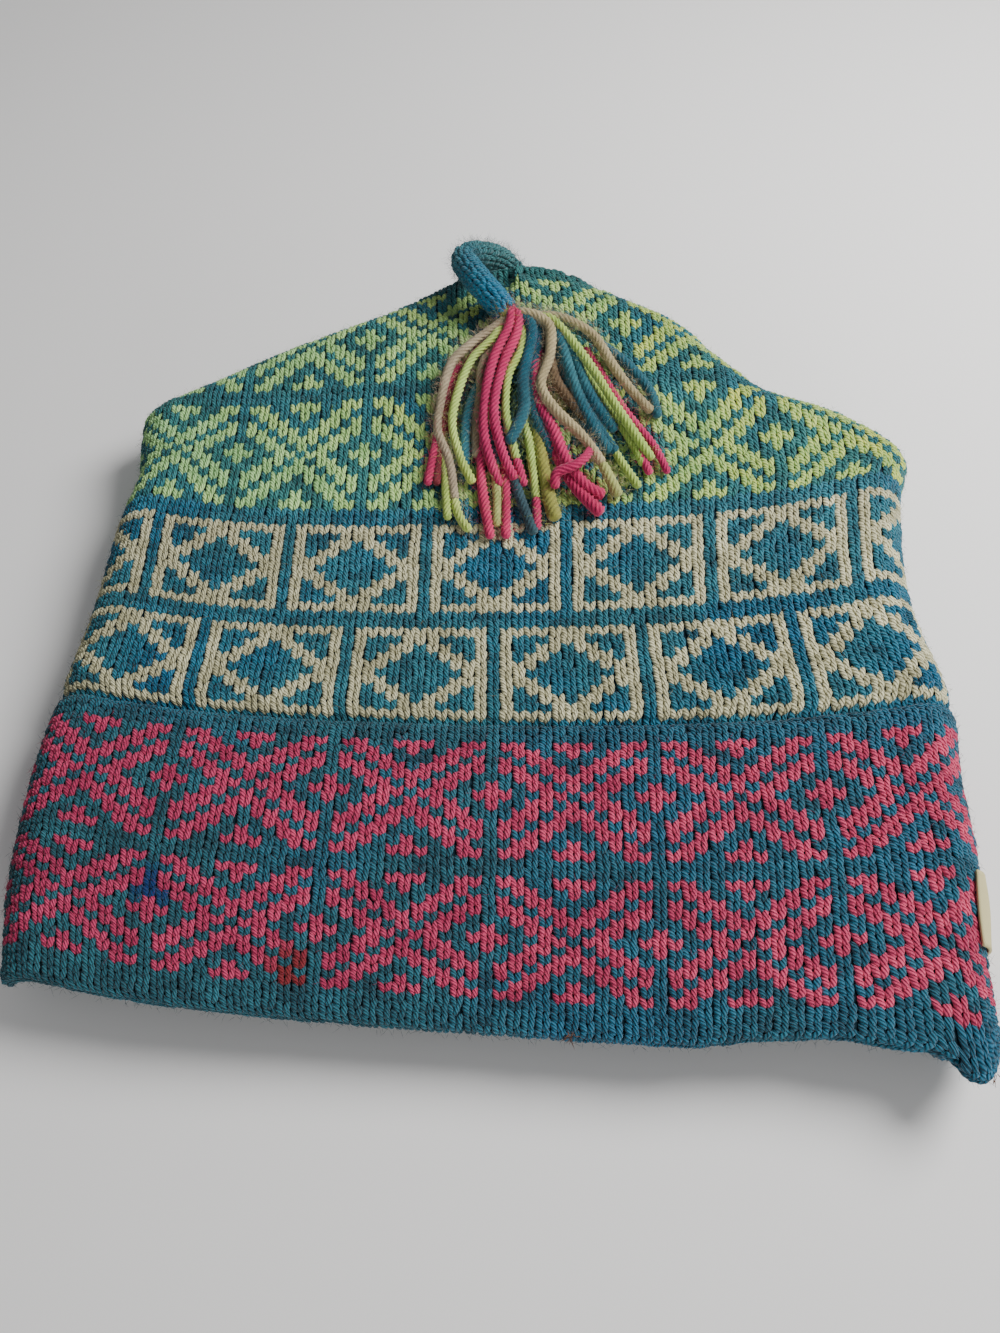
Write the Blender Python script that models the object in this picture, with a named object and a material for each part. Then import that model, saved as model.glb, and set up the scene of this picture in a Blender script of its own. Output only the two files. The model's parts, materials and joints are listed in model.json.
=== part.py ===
"""A stranded-knit wool toque, lying flat on its back.

Metres, +Z up. The hem points to -Y and the crown to +Y. The origin is on the surface that the hat
lies on, under the middle of its front. The tables are in millimetres and are scaled once, by MM,
but the cord's route is in metres.
"""

import math

import bmesh
import bpy
from mathutils import Vector

MM = 0.001
GAP = 0.3

# Knitted rows are counted from the hem fold
HEM_ROW = 0
GROOVE_ROW = 32.5
RIDGE_ROW = 90

# Wall thicknesses: the cuff is a doubled band, the tube above it is one stranded layer
CUFF_WALL = 5.0
CROWN_WALL = 3.0

# The crown is tucked in behind the top of the cuff, and swells out again over a few rows
TUCK = 2.0
TUCK_ROWS = 3.0

# How round the closed top is, front to back
CAP_DEPTH = 4.0

# How finely the surfaces are cut
FRONT_STEPS = 22
FOLD_STEPS = 6
BACK_STEPS = 14
LIP_STEPS = 4
CAP_STEPS = 3
CUFF_ROW_STEP = 4.1
CROWN_ROW_STEP = 3.4

# One line for each section of the hat, in millimetres
#   row          knitted rows above the hem fold
#   y            where the row crosses the middle of the front
#   tilt         how far the row's right end lies towards the crown, and its left end away from it
#   bow          how far both ends curve towards the crown
#   x_left       the left side fold
#   x_right      the right side fold
#   middle       height of the front in its middle
#   left, right  height of the two side folds
SECTION_COLUMNS = ("row", "y", "tilt", "bow", "x_left", "x_right", "middle", "left", "right")
SECTIONS = [
    (0, -102, -8, 5, -132, 128, 18, 21, 22),
    (9, -81, -6, 9, -136, 130, 19, 22, 24),
    (18, -58, -5, 6, -137, 133, 20, 23, 26),
    (26, -35, -4, 4, -137, 134, 20, 23, 26),
    (34, -15, -2, 7, -135, 137, 20, 23, 26),
    (46, 19, 1, 8, -131, 132, 22, 24, 27),
    (58, 55, 4, 9, -129, 137, 25, 26, 28),
    (64, 76, 4, 8, -126, 142, 27, 27, 28),
    (70, 96, 4, 5, -128, 124, 30, 27, 30),
    (74, 110, 4, 3, -126, 98, 33, 28, 32),
    (79, 127, 3, 1, -101, 83, 37, 31, 34),
    (84, 143, 2, 0, -71, 69, 41, 35, 39),
    (90, 161, 0, 0, -27, 41, 45, 41, 42),
]

# The right half of the hem is wavy, and its corner hangs forward in a blunt ear: pairs of x and how
# far the hem hangs forward there, in millimetres, and over how many rows this fades out
HEM_WAVE = [
    (50, 0),
    (62, -2),
    (84, -3),
    (100, 0),
    (108, 1),
    (111, 3),
    (115, 9),
    (119, 9),
    (122, 7),
    (125, 2),
    (129, 0),
]
WAVE_ROWS = 6

# The back layer ends a little short of the front at the hem: how far, over how many rows, and
# between which heights the step from back to front is spread
HEM_STEP = 8
HEM_STEP_ROWS = 8
HEM_STEP_LOW = 5
HEM_STEP_HIGH = 12

# The knitted cord: its route in metres, from the closed top, up behind the ridge, over and down
CORD_DIAMETER = 0.010
CORD_STEP = 0.004
CORD_ROUTE = [
    (0.0120, 0.1652, 0.0220),
    (0.0120, 0.1682, 0.0220),
    (0.0110, 0.1710, 0.0237),
    (0.0085, 0.1712, 0.0270),
    (0.0050, 0.1706, 0.0312),
    (0.0025, 0.1698, 0.0350),
    (0.0000, 0.1682, 0.0387),
    (-0.0028, 0.1668, 0.0412),
    (-0.0060, 0.1650, 0.0432),
    (-0.0095, 0.1630, 0.0450),
    (-0.0122, 0.1598, 0.0462),
    (-0.0128, 0.1565, 0.0470),
    (-0.0115, 0.1528, 0.0473),
    (-0.0095, 0.1490, 0.0474),
    (-0.0070, 0.1448, 0.0472),
    (-0.0042, 0.1408, 0.0466),
    (0.0002, 0.1355, 0.0446),
]

# The tassel's head is a short roll of folded yarn, from the tie to where the last locks leave it
HEAD_START = Vector((3.5, 131.5, 43.3))
HEAD_END = Vector((19.0, 130.0, 42.6))
HEAD_RADIUS = 4.9
HEAD_SIDES = 10
LOCK_SIDES = 6
LOCK_STEPS = 6

# One line for each lock, lying on the front: it leaves the head at head_x, passes its middle and
# ends, each given by x in millimetres and a knitted row. lift is how far its middle is held up by
# the locks below it
LOCK_COLUMNS = ("head_x", "middle_x", "middle_row", "end_x", "end_row", "width", "lift")
LOCKS = [
    (3, -18, 72, -24, 61, 4.6, 0.0),
    (3, -16, 67, -17, 58, 4.6, 0.0),
    (4, -20, 68, -10, 57, 4.6, 3.0),
    (4, -15, 72, -8, 62, 4.6, 3.5),
    (5, -6, 63, -3, 56, 4.8, 0.0),
    (5, -6, 70, 0, 61, 5.0, 4.0),
    (6, 2, 62, 2, 56, 4.6, 0.0),
    (6, -1, 71, 5, 63, 5.0, 4.0),
    (8, 2, 71, 7, 61, 4.6, 3.0),
    (10, 9, 73, 3, 66, 5.0, 4.5),
    (10, 10, 66, 12, 56, 4.8, 1.5),
    (12, 13, 71, 17, 63, 5.0, 1.0),
    (14, 17, 65, 18, 57, 5.4, 0.0),
    (14, 21, 66, 32, 58, 7.0, 1.5),
    (16, 17, 73, 34, 63, 5.2, 4.5),
    (17, 28, 71, 40, 63, 5.6, 1.5),
    (18, 34, 71, 46, 60, 5.6, 0.5),
    (18, 38, 71, 56, 62, 5.0, 2.5),
    (19, 37, 77, 51, 70, 5.0, 2.0),
    (19, 44, 76, 53, 69, 5.0, 0.5),
]

# The cloth label lies round the right fold of the cuff
LABEL_ROWS = (8, 17.5)
LABEL_TOP = math.radians(8)
LABEL_BOTTOM = math.radians(-42)
LABEL_THICKNESS = 1.0
LABEL_BULGE = 2.6
LABEL_STEPS = 6


def section(row):
    """The section at any row, as named values on a smooth curve through the table."""
    last = len(SECTIONS) - 1
    i = max(0, min(last - 1, sum(line[0] <= row for line in SECTIONS) - 1))
    before, low, high, after = (SECTIONS[max(0, min(last, i + k))] for k in (-1, 0, 1, 2))
    span = high[0] - low[0]
    u = (row - low[0]) / span
    found = {}
    for k, name in enumerate(SECTION_COLUMNS[1:], start=1):
        slope_low = (high[k] - before[k]) / (high[0] - before[0]) * span
        slope_high = (after[k] - low[k]) / (after[0] - low[0]) * span
        found[name] = (
            (2 * u**3 - 3 * u**2 + 1) * low[k]
            + (u**3 - 2 * u**2 + u) * slope_low
            + (3 * u**2 - 2 * u**3) * high[k]
            + (u**3 - u**2) * slope_high
        )
    return found


def fold_shape(row, side):
    """How far a side fold reaches inwards for its height, as a factor: more where the side slants."""
    step = 0.5
    low, high = section(max(HEM_ROW, row - step)), section(min(RIDGE_ROW, row + step))
    slant = (high[side] - low[side]) / (high["y"] - low["y"])
    return math.sqrt(1 + slant * slant)


def ramp(t):
    return t * t * (3 - 2 * t)


def frame_of(row):
    """The numbers that place a section's front, folds and back."""
    s = section(row)
    widest = 0.48 * (s["x_right"] - s["x_left"])
    s["reach_left"] = min(s["left"] / 2 * fold_shape(row, "x_left"), widest)
    s["reach_right"] = min(s["right"] / 2 * fold_shape(row, "x_right"), widest)
    s["start"] = s["x_left"] + s["reach_left"]
    s["end"] = s["x_right"] - s["reach_right"]
    s["centre"] = (s["start"] + s["end"]) / 2
    s["half"] = (s["end"] - s["start"]) / 2
    return s


def row_y(s, t):
    """Where a row runs, t from -1 at the left fold to 1 at the right fold."""
    return s["y"] + s["tilt"] * t + s["bow"] * t**4


def front_point(s, t, inset=0.0):
    """A point of the front layer."""
    side = s["left"] if t < 0 else s["right"]
    height = s["middle"] + (side - s["middle"]) * ramp(abs(t))
    return Vector((s["centre"] + t * s["half"], row_y(s, t), height - inset))


def back_point(s, t, inset=0.0):
    return Vector((s["centre"] + t * s["half"], row_y(s, t), inset))


def fold_point(s, side, angle, inset=0.0):
    """A point of a side fold, angle from 90 degrees on the front to -90 on the back."""
    outwards, start = (1, s["end"]) if side == "right" else (-1, s["start"])
    radius = s[side] / 2
    reach = s["reach_" + side] * (radius - inset) / radius
    x = start + outwards * reach * math.cos(angle)
    return Vector((x, row_y(s, outwards), radius + (radius - inset) * math.sin(angle)))


def hem_wave(x):
    """How far the hem hangs forward at x, by straight lines between the places of the table."""
    found = 0.0
    for (x_low, low), (x_high, high) in zip(HEM_WAVE, HEM_WAVE[1:]):
        along = max(0.0, min(1.0, (x - x_low) / (x_high - x_low)))
        found += (high - low) * along
    return found


def hem_reach(row, point):
    """How far a point near the hem lies forward: the ear does, and the back layer lies behind."""
    wave = hem_wave(point.x)
    low = (HEM_STEP_HIGH - point.z) / (HEM_STEP_HIGH - HEM_STEP_LOW)
    back = HEM_STEP * ramp(max(0.0, min(1.0, low)))
    return wave * max(0.0, 1 - row / WAVE_ROWS) ** 1.5 - back * max(0.0, 1 - row / HEM_STEP_ROWS) ** 1.5


def ring(row, inset=0.0, forward=0.0):
    """One closed loop round the hat: the front, the right fold, the back and the left fold."""
    s = frame_of(row)
    quarter = math.pi / 2
    points = [front_point(s, 2 * i / FRONT_STEPS - 1, inset) for i in range(FRONT_STEPS + 1)]
    turns = [quarter - math.pi * i / FOLD_STEPS for i in range(1, FOLD_STEPS)]
    points += [fold_point(s, "right", angle, inset) for angle in turns]
    points += [back_point(s, 1 - 2 * i / BACK_STEPS, inset) for i in range(BACK_STEPS + 1)]
    points += [fold_point(s, "left", angle, inset) for angle in reversed(turns)]
    for point in points:
        point.y -= forward + hem_reach(row, point)
    return points


def lip(row, wall, towards_crown):
    """The rings round a rounded edge, from the outer face over to the inner face."""
    sign = -1 if towards_crown else 1
    turns = [math.pi * i / LIP_STEPS for i in range(1, LIP_STEPS)]
    return [
        ring(row, wall * (1 - math.cos(a)) / 2, sign * wall / 2 * math.sin(a)) for a in turns
    ]


def rows_between(low, high, step):
    count = math.ceil((high - low) / step)
    return [low + (high - low) * i / count for i in range(count + 1)]


def material(name, colour, roughness):
    made = bpy.data.materials.new(name)
    made.use_nodes = True
    shader = made.node_tree.nodes["Principled BSDF"]
    shader.inputs["Base Color"].default_value = (*colour, 1)
    shader.inputs["Roughness"].default_value = roughness
    shader.inputs["Metallic"].default_value = 0
    return made


def add_object(name, mesh_data, finish):
    made = bpy.data.objects.new(name, mesh_data)
    made.data.materials.append(finish)
    bpy.context.scene.collection.objects.link(made)
    return made


def add_solid(name, bm, finish):
    """Scale a finished bmesh from millimetres and make it an object, shaded smooth."""
    bmesh.ops.scale(bm, vec=(MM, MM, MM), verts=bm.verts)
    bmesh.ops.recalc_face_normals(bm, faces=bm.faces)
    data = bpy.data.meshes.new(name)
    bm.to_mesh(data)
    bm.free()
    data.shade_smooth()
    return add_object(name, data, finish)


def skin(bm, rings, closed):
    """Faces between each ring and the next one, and back to the first if closed."""
    loops = [[bm.verts.new(p) for p in points] for points in rings]
    pairs = list(zip(loops, loops[1:])) + ([(loops[-1], loops[0])] if closed else [])
    for low, high in pairs:
        for i in range(len(low)):
            j = (i + 1) % len(low)
            bm.faces.new((low[i], low[j], high[j], high[i]))
    return loops


def close_with_fan(bm, loop):
    """Close a ring with a fan to its middle point."""
    middle = bm.verts.new(sum((v.co for v in loop), Vector()) / len(loop))
    for i, vert in enumerate(loop):
        bm.faces.new((vert, loop[(i + 1) % len(loop)], middle))


def build_cuff(finish):
    rows = rows_between(HEM_ROW, GROOVE_ROW, CUFF_ROW_STEP)
    outer = [ring(row) for row in rows]
    inner = [ring(row, CUFF_WALL) for row in reversed(rows)]
    top = lip(GROOVE_ROW, CUFF_WALL, towards_crown=True)
    hem = list(reversed(lip(HEM_ROW, CUFF_WALL, towards_crown=False)))
    bm = bmesh.new()
    skin(bm, outer + top + inner + hem, closed=True)
    return add_solid("cuff", bm, finish)


def tuck(row):
    """How far the crown's surface lies behind the cuff's, just above the groove."""
    return TUCK * max(0.0, 1 - (row - GROOVE_ROW) / TUCK_ROWS)


def cap(depth, inset):
    """The rounded end behind the ridge: the last ring, shrunk towards its middle in steps."""
    last = ring(RIDGE_ROW, inset)
    low, high = min(p.z for p in last), max(p.z for p in last)
    s = section(RIDGE_ROW)
    middle = Vector(((s["x_left"] + s["x_right"]) / 2, s["y"], (low + high) / 2))
    rings = []
    for i in range(1, CAP_STEPS + 1):
        angle = math.pi / 2 * i / (CAP_STEPS + 0.5)
        step = Vector((0, depth * math.sin(angle), 0))
        rings.append([middle + (p - middle) * math.cos(angle) + step for p in last])
    return rings


def build_crown(finish):
    start = -(CUFF_WALL / 2 + GAP)
    rows = rows_between(GROOVE_ROW + TUCK_ROWS / 2, RIDGE_ROW, CROWN_ROW_STEP)
    outer = [ring(GROOVE_ROW, TUCK, start)] + [ring(row, tuck(row)) for row in rows]
    inner = [ring(GROOVE_ROW, TUCK + CROWN_WALL, start)]
    inner += [ring(row, tuck(row) + CROWN_WALL) for row in rows]
    outer += cap(CAP_DEPTH, 0.0)
    inner += cap(CAP_DEPTH - CROWN_WALL, CROWN_WALL)
    bm = bmesh.new()
    loops = skin(bm, list(reversed(outer)) + inner, closed=False)
    close_with_fan(bm, loops[0])
    close_with_fan(bm, loops[-1])
    return add_solid("crown", bm, finish)


def smooth(points, step):
    """Points along a smooth curve through the given ones, at most a step apart."""
    ends = [points[0], *points, points[-1]]
    found = []
    for before, low, high, after in zip(ends, ends[1:], ends[2:], ends[3:]):
        pieces = max(1, math.ceil((high - low).length / step))
        for i in range(pieces):
            u = i / pieces
            found.append(
                low * (2 * u**3 - 3 * u**2 + 1)
                + (high - before) / 2 * (u**3 - 2 * u**2 + u)
                + high * (3 * u**2 - 2 * u**3)
                + (after - low) / 2 * (u**3 - u**2)
            )
    return [*found, points[-1]]


def build_cord(finish):
    data = bpy.data.curves.new("cord_loop", "CURVE")
    data.dimensions = "3D"
    data.bevel_depth = CORD_DIAMETER / 2
    data.bevel_resolution = 3
    data.use_fill_caps = True
    route = smooth([Vector(p) for p in CORD_ROUTE], CORD_STEP)
    spline = data.splines.new("POLY")
    spline.points.add(len(route) - 1)
    for point, place in zip(spline.points, route):
        point.co = (*place, 1)
    return add_object("cord_loop", data, finish)


def tube(bm, path, radii, sides):
    """A closed tube along a path, with its own radius at each point."""
    ahead = [(b - a).normalized() for a, b in zip(path, path[1:])]
    ahead.append(ahead[-1])
    across = ahead[0].orthogonal().normalized()
    rings = []
    for place, way, radius in zip(path, ahead, radii):
        across = (across - way * across.dot(way)).normalized()
        other = way.cross(across)
        turns = [2 * math.pi * i / sides for i in range(sides)]
        rings.append([place + (across * math.cos(a) + other * math.sin(a)) * radius for a in turns])
    loops = skin(bm, rings, closed=False)
    bm.faces.new(reversed(loops[0]))
    bm.faces.new(loops[-1])


def on_front(x, row, height):
    """A point above the front layer, at x and a knitted row."""
    s = frame_of(row)
    t = max(-1.0, min(1.0, (x - s["centre"]) / s["half"]))
    return front_point(s, t) + Vector((0, 0, height))


def row_at(y):
    """The row that crosses the middle of the front at y."""
    low, high = HEM_ROW, RIDGE_ROW
    for _ in range(30):
        middle = (low + high) / 2
        low, high = (middle, high) if section(middle)["y"] < y else (low, middle)
    return (low + high) / 2


def lock_path(lock):
    """A lock's line from inside the head, through its middle, to its tip on the front."""
    along = (lock["head_x"] - HEAD_START.x) / (HEAD_END.x - HEAD_START.x)
    head = HEAD_START.lerp(HEAD_END, max(0.0, min(1.0, along)))
    head_row = row_at(head.y)
    lying = lock["width"] * 0.54 + 0.5
    heights = (head.z - on_front(head.x, head_row, 0).z, lying + lock["lift"], lying)
    across = (head.x, lock["middle_x"], lock["end_x"])
    rows = (head_row, lock["middle_row"], lock["end_row"])
    path = []
    for i in range(LOCK_STEPS + 1):
        u = i / LOCK_STEPS
        weights = ((1 - u) * (1 - 2 * u), 4 * u * (1 - u), u * (2 * u - 1))
        x, row, height = (
            sum(w * value for w, value in zip(weights, values)) for values in (across, rows, heights)
        )
        path.append(on_front(x, row, max(height, lying)))
    return path


def build_tassel(finish):
    bm = bmesh.new()
    ends = [HEAD_START.lerp(HEAD_END, u) for u in (-0.26, -0.13, 0.2, 0.6, 1.0, 1.2)]
    tube(bm, ends, [HEAD_RADIUS * k for k in (0.55, 0.9, 1.0, 1.0, 0.85, 0.4)], HEAD_SIDES)
    head = add_solid("tassel", bm, finish)
    for i, line in enumerate(LOCKS):
        lock = dict(zip(LOCK_COLUMNS, line))
        radii = [lock["width"] / 2 * k for k in (0.8, 1, 1, 1, 1, 1, 0.9)]
        bm = bmesh.new()
        tube(bm, lock_path(lock), radii, LOCK_SIDES)
        strand = add_solid(f"lock_{i + 1}", bm, finish)
        strand.hide_render = True
        strand.display_type = "WIRE"
        union = head.modifiers.new(strand.name, "BOOLEAN")
        union.operation = "UNION"
        union.solver = "EXACT"
        union.object = strand
    return head


def build_label(finish):
    """A tab of cloth round the fold: its two faces stand off the cuff, and bulge in the middle."""
    bm = bmesh.new()
    faces = []
    for depth in (-GAP - LABEL_THICKNESS, -GAP):
        for i in range(LABEL_STEPS + 1):
            u = i / LABEL_STEPS
            row = LABEL_ROWS[0] + (LABEL_ROWS[1] - LABEL_ROWS[0]) * u
            bulge = LABEL_BULGE * math.sin(math.pi * u)
            turns = [
                LABEL_TOP + (LABEL_BOTTOM - LABEL_TOP) * k / LABEL_STEPS
                for k in range(LABEL_STEPS + 1)
            ]
            s = frame_of(row)
            faces.append([bm.verts.new(fold_point(s, "right", a, depth - bulge)) for a in turns])
    outer, inner = faces[: LABEL_STEPS + 1], faces[LABEL_STEPS + 1 :]
    for sheet in (outer, inner):
        for low, high in zip(sheet, sheet[1:]):
            for k in range(LABEL_STEPS):
                bm.faces.new((low[k], low[k + 1], high[k + 1], high[k]))
    border = [edge for edge in bm.edges if edge.is_boundary]
    bmesh.ops.bridge_loops(bm, edges=border)
    return add_solid("label", bm, finish)


def main():
    for old in list(bpy.data.objects):
        bpy.data.objects.remove(old, do_unlink=True)
    teal = material("teal_wool", (0.03, 0.15, 0.24), 0.9)
    yarn = material("tassel_yarn", (0.55, 0.35, 0.30), 0.9)
    cloth = material("label_cloth", (0.60, 0.54, 0.40), 0.85)
    build_cuff(teal)
    build_crown(teal)
    build_cord(teal)
    build_tassel(yarn)
    build_label(cloth)


main()
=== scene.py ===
# %% [markdown]
# A stranded-knit wool toque, dressed from its plain solids. The solids give the shape. This script
# lays every knitted stitch on that shape, by the same charts that a knitter would follow, and adds
# the knitted cord, the tassel of plied yarn and the cloth label.
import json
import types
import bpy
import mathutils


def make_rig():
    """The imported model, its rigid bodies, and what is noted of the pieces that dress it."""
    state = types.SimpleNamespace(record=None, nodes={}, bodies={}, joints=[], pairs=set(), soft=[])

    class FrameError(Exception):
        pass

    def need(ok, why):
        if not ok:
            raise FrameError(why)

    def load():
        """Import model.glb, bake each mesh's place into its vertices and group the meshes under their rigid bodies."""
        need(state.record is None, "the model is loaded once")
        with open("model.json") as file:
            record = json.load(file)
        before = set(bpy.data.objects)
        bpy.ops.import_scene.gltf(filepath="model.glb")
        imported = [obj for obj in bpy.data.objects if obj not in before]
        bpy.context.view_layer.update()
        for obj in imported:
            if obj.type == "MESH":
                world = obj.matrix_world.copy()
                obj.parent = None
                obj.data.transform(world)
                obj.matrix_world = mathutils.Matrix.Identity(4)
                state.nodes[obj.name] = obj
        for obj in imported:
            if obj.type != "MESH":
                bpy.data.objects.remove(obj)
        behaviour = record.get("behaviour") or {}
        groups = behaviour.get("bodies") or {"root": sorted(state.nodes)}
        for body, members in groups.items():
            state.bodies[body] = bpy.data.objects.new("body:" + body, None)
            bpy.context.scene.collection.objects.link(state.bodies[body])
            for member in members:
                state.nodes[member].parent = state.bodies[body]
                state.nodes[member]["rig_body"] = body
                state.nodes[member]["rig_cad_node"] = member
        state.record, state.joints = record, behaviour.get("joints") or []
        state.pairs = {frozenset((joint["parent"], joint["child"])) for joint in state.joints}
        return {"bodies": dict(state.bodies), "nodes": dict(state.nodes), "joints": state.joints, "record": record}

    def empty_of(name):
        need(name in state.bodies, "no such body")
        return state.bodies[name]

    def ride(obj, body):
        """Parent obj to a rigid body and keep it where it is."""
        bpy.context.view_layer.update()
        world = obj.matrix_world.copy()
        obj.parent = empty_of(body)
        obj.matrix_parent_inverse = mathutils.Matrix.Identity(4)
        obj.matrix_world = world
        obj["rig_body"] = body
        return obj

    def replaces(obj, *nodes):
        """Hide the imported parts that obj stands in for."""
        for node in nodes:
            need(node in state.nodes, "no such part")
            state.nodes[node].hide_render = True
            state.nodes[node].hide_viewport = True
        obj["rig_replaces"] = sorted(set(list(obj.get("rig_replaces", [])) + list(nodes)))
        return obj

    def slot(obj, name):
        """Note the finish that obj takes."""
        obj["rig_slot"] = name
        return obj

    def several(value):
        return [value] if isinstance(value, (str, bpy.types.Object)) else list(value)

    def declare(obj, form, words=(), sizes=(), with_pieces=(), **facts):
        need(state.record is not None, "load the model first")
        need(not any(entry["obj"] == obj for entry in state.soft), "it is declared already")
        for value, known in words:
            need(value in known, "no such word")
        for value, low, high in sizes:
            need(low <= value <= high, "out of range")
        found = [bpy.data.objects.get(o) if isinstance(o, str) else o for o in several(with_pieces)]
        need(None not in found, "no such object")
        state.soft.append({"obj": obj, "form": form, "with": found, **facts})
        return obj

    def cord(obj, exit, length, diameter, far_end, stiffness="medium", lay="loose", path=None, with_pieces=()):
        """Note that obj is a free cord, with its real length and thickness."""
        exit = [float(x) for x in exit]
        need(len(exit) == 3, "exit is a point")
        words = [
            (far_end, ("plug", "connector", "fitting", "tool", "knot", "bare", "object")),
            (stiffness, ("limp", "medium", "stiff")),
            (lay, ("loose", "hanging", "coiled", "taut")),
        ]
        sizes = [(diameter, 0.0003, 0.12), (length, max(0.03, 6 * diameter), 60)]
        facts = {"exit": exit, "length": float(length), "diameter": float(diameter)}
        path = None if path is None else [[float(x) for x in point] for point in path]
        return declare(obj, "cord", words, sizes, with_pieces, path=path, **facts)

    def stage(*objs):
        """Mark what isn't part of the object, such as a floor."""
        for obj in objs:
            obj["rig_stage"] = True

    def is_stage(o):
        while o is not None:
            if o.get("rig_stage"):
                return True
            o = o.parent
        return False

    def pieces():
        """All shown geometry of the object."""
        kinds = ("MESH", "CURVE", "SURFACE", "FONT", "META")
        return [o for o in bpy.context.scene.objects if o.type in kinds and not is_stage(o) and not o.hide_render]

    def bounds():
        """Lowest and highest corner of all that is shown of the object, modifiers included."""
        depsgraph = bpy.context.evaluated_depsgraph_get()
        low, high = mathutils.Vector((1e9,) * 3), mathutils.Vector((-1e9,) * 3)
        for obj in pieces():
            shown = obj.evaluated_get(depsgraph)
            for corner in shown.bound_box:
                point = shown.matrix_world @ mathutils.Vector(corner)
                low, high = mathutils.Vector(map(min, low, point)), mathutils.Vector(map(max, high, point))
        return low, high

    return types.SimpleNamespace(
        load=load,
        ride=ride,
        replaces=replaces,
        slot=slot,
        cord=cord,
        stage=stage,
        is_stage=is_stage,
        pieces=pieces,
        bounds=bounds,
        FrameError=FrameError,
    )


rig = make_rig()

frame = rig.load()

import json
import math
from functools import partial

import bmesh
import bpy
import numpy as np
from mathutils import Vector

cad_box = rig.bounds()
MM = 0.001
rng = np.random.default_rng(7)
print("nodes:", sorted(frame["nodes"]))

# %% [markdown]
# The hat lies on its back, so the camera looks down at it from in front of the hem. The photograph
# is taken from close by, which is why the hem looks wider than the crown. Only the distance, the
# tilt and the angle of view matter.

# %% Camera
CAMERA_TILT = math.radians(31)
CAMERA_DISTANCE = 0.300
CAMERA_AIM = Vector((0, 0, 0.024))
SENSOR_WIDTH = 36
FOCAL_LENGTH = 36


def add_to_scene(name, data):
    """An object for a camera, a mesh or a lamp."""
    made = bpy.data.objects.new(name, data)
    bpy.context.scene.collection.objects.link(made)
    return made


ahead = Vector((0, math.sin(CAMERA_TILT), -math.cos(CAMERA_TILT)))
lens = bpy.data.cameras.new("camera")
lens.sensor_fit = "HORIZONTAL"
lens.sensor_width = SENSOR_WIDTH
lens.lens = FOCAL_LENGTH
camera = add_to_scene("camera", lens)
camera.location = CAMERA_AIM - ahead * CAMERA_DISTANCE
camera.rotation_euler = (CAMERA_TILT, 0, 0)
bpy.context.scene.camera = camera
print("camera at", [round(v, 3) for v in camera.location])

# %% [markdown]
# The hat is described as it is knitted: by rows counted from the hem fold. Each line of the table
# is one row, with the place where it crosses the middle of the front, how it tilts and bows, its
# two side folds, and its heights. A smooth curve runs through the lines.

# %% The table of sections, in millimetres
SECTION_COLUMNS = ("row", "y", "tilt", "bow", "x_left", "x_right", "middle", "left", "right")
SECTIONS = [
    (0, -102, -8, 5, -132, 128, 18, 21, 22),
    (9, -81, -6, 9, -136, 130, 19, 22, 24),
    (18, -58, -5, 6, -137, 133, 20, 23, 26),
    (26, -35, -4, 4, -137, 134, 20, 23, 26),
    (34, -15, -2, 7, -135, 137, 20, 23, 26),
    (46, 19, 1, 8, -131, 132, 22, 24, 27),
    (58, 55, 4, 9, -129, 137, 25, 26, 28),
    (64, 76, 4, 8, -126, 142, 27, 27, 28),
    (70, 96, 4, 5, -128, 124, 30, 27, 30),
    (74, 110, 4, 3, -126, 98, 33, 28, 32),
    (79, 127, 3, 1, -101, 83, 37, 31, 34),
    (84, 143, 2, 0, -71, 69, 41, 35, 39),
    (90, 161, 0, 0, -27, 41, 45, 41, 42),
]
GROOVE_ROW = 32.5
RIDGE_ROW = 90
CUFF_WALL = 5.0
CROWN_WALL = 3.0
TUCK = 2.0
TUCK_ROWS = 3.0
TUCK_SLOPE = 1.6
CAP_DEPTH = 4.0
WIDEST_FOLD = 0.48

# The hem's front edge is wavy: pairs of x and millimetres forwards, which fade out over some rows
HEM_WAVE = [(50, 0), (62, -2), (84, -3), (100, 0), (108, 1), (111, 3)]
HEM_WAVE += [(115, 9), (119, 9), (122, 7), (125, 2), (129, 0)]
WAVE_ROWS = 6
HEM_STEP, HEM_STEP_ROWS, HEM_STEP_LOW, HEM_STEP_HIGH = 8, 8, 5, 12
HEM_FADE = 1.5


def curve(u, low, slope_low, high, slope_high):
    """A smooth way from one value to the next as u goes from 0 to 1, with a slope at each end."""
    return (
        (2 * u**3 - 3 * u**2 + 1) * low
        + (u**3 - 2 * u**2 + u) * slope_low
        + (3 * u**2 - 2 * u**3) * high
        + (u**3 - u**2) * slope_high
    )


def section(row):
    """The section at any row, as named values on a smooth curve through the table."""
    last = len(SECTIONS) - 1
    i = max(0, min(last - 1, sum(line[0] <= row for line in SECTIONS) - 1))
    before, low, high, after = (SECTIONS[max(0, min(last, i + k))] for k in (-1, 0, 1, 2))
    span = high[0] - low[0]
    found = {}
    for k, name in enumerate(SECTION_COLUMNS[1:], start=1):
        slope_low = (high[k] - before[k]) / (high[0] - before[0]) * span
        slope_high = (after[k] - low[k]) / (after[0] - low[0]) * span
        found[name] = curve((row - low[0]) / span, low[k], slope_low, high[k], slope_high)
    return found


def fold_reach(row, s, side):
    """How far a side fold reaches inwards, which is further where the side of the hat slants."""
    low, high = section(max(0, row - 0.5)), section(min(RIDGE_ROW, row + 0.5))
    slant = (high["x_" + side] - low["x_" + side]) / (high["y"] - low["y"])
    return min(s[side] / 2 * math.sqrt(1 + slant * slant), WIDEST_FOLD * (s["x_right"] - s["x_left"]))


def ramp(t):
    """A step from 0 to 1 with a soft start and a soft end."""
    return t * t * (3 - 2 * t)


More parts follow.
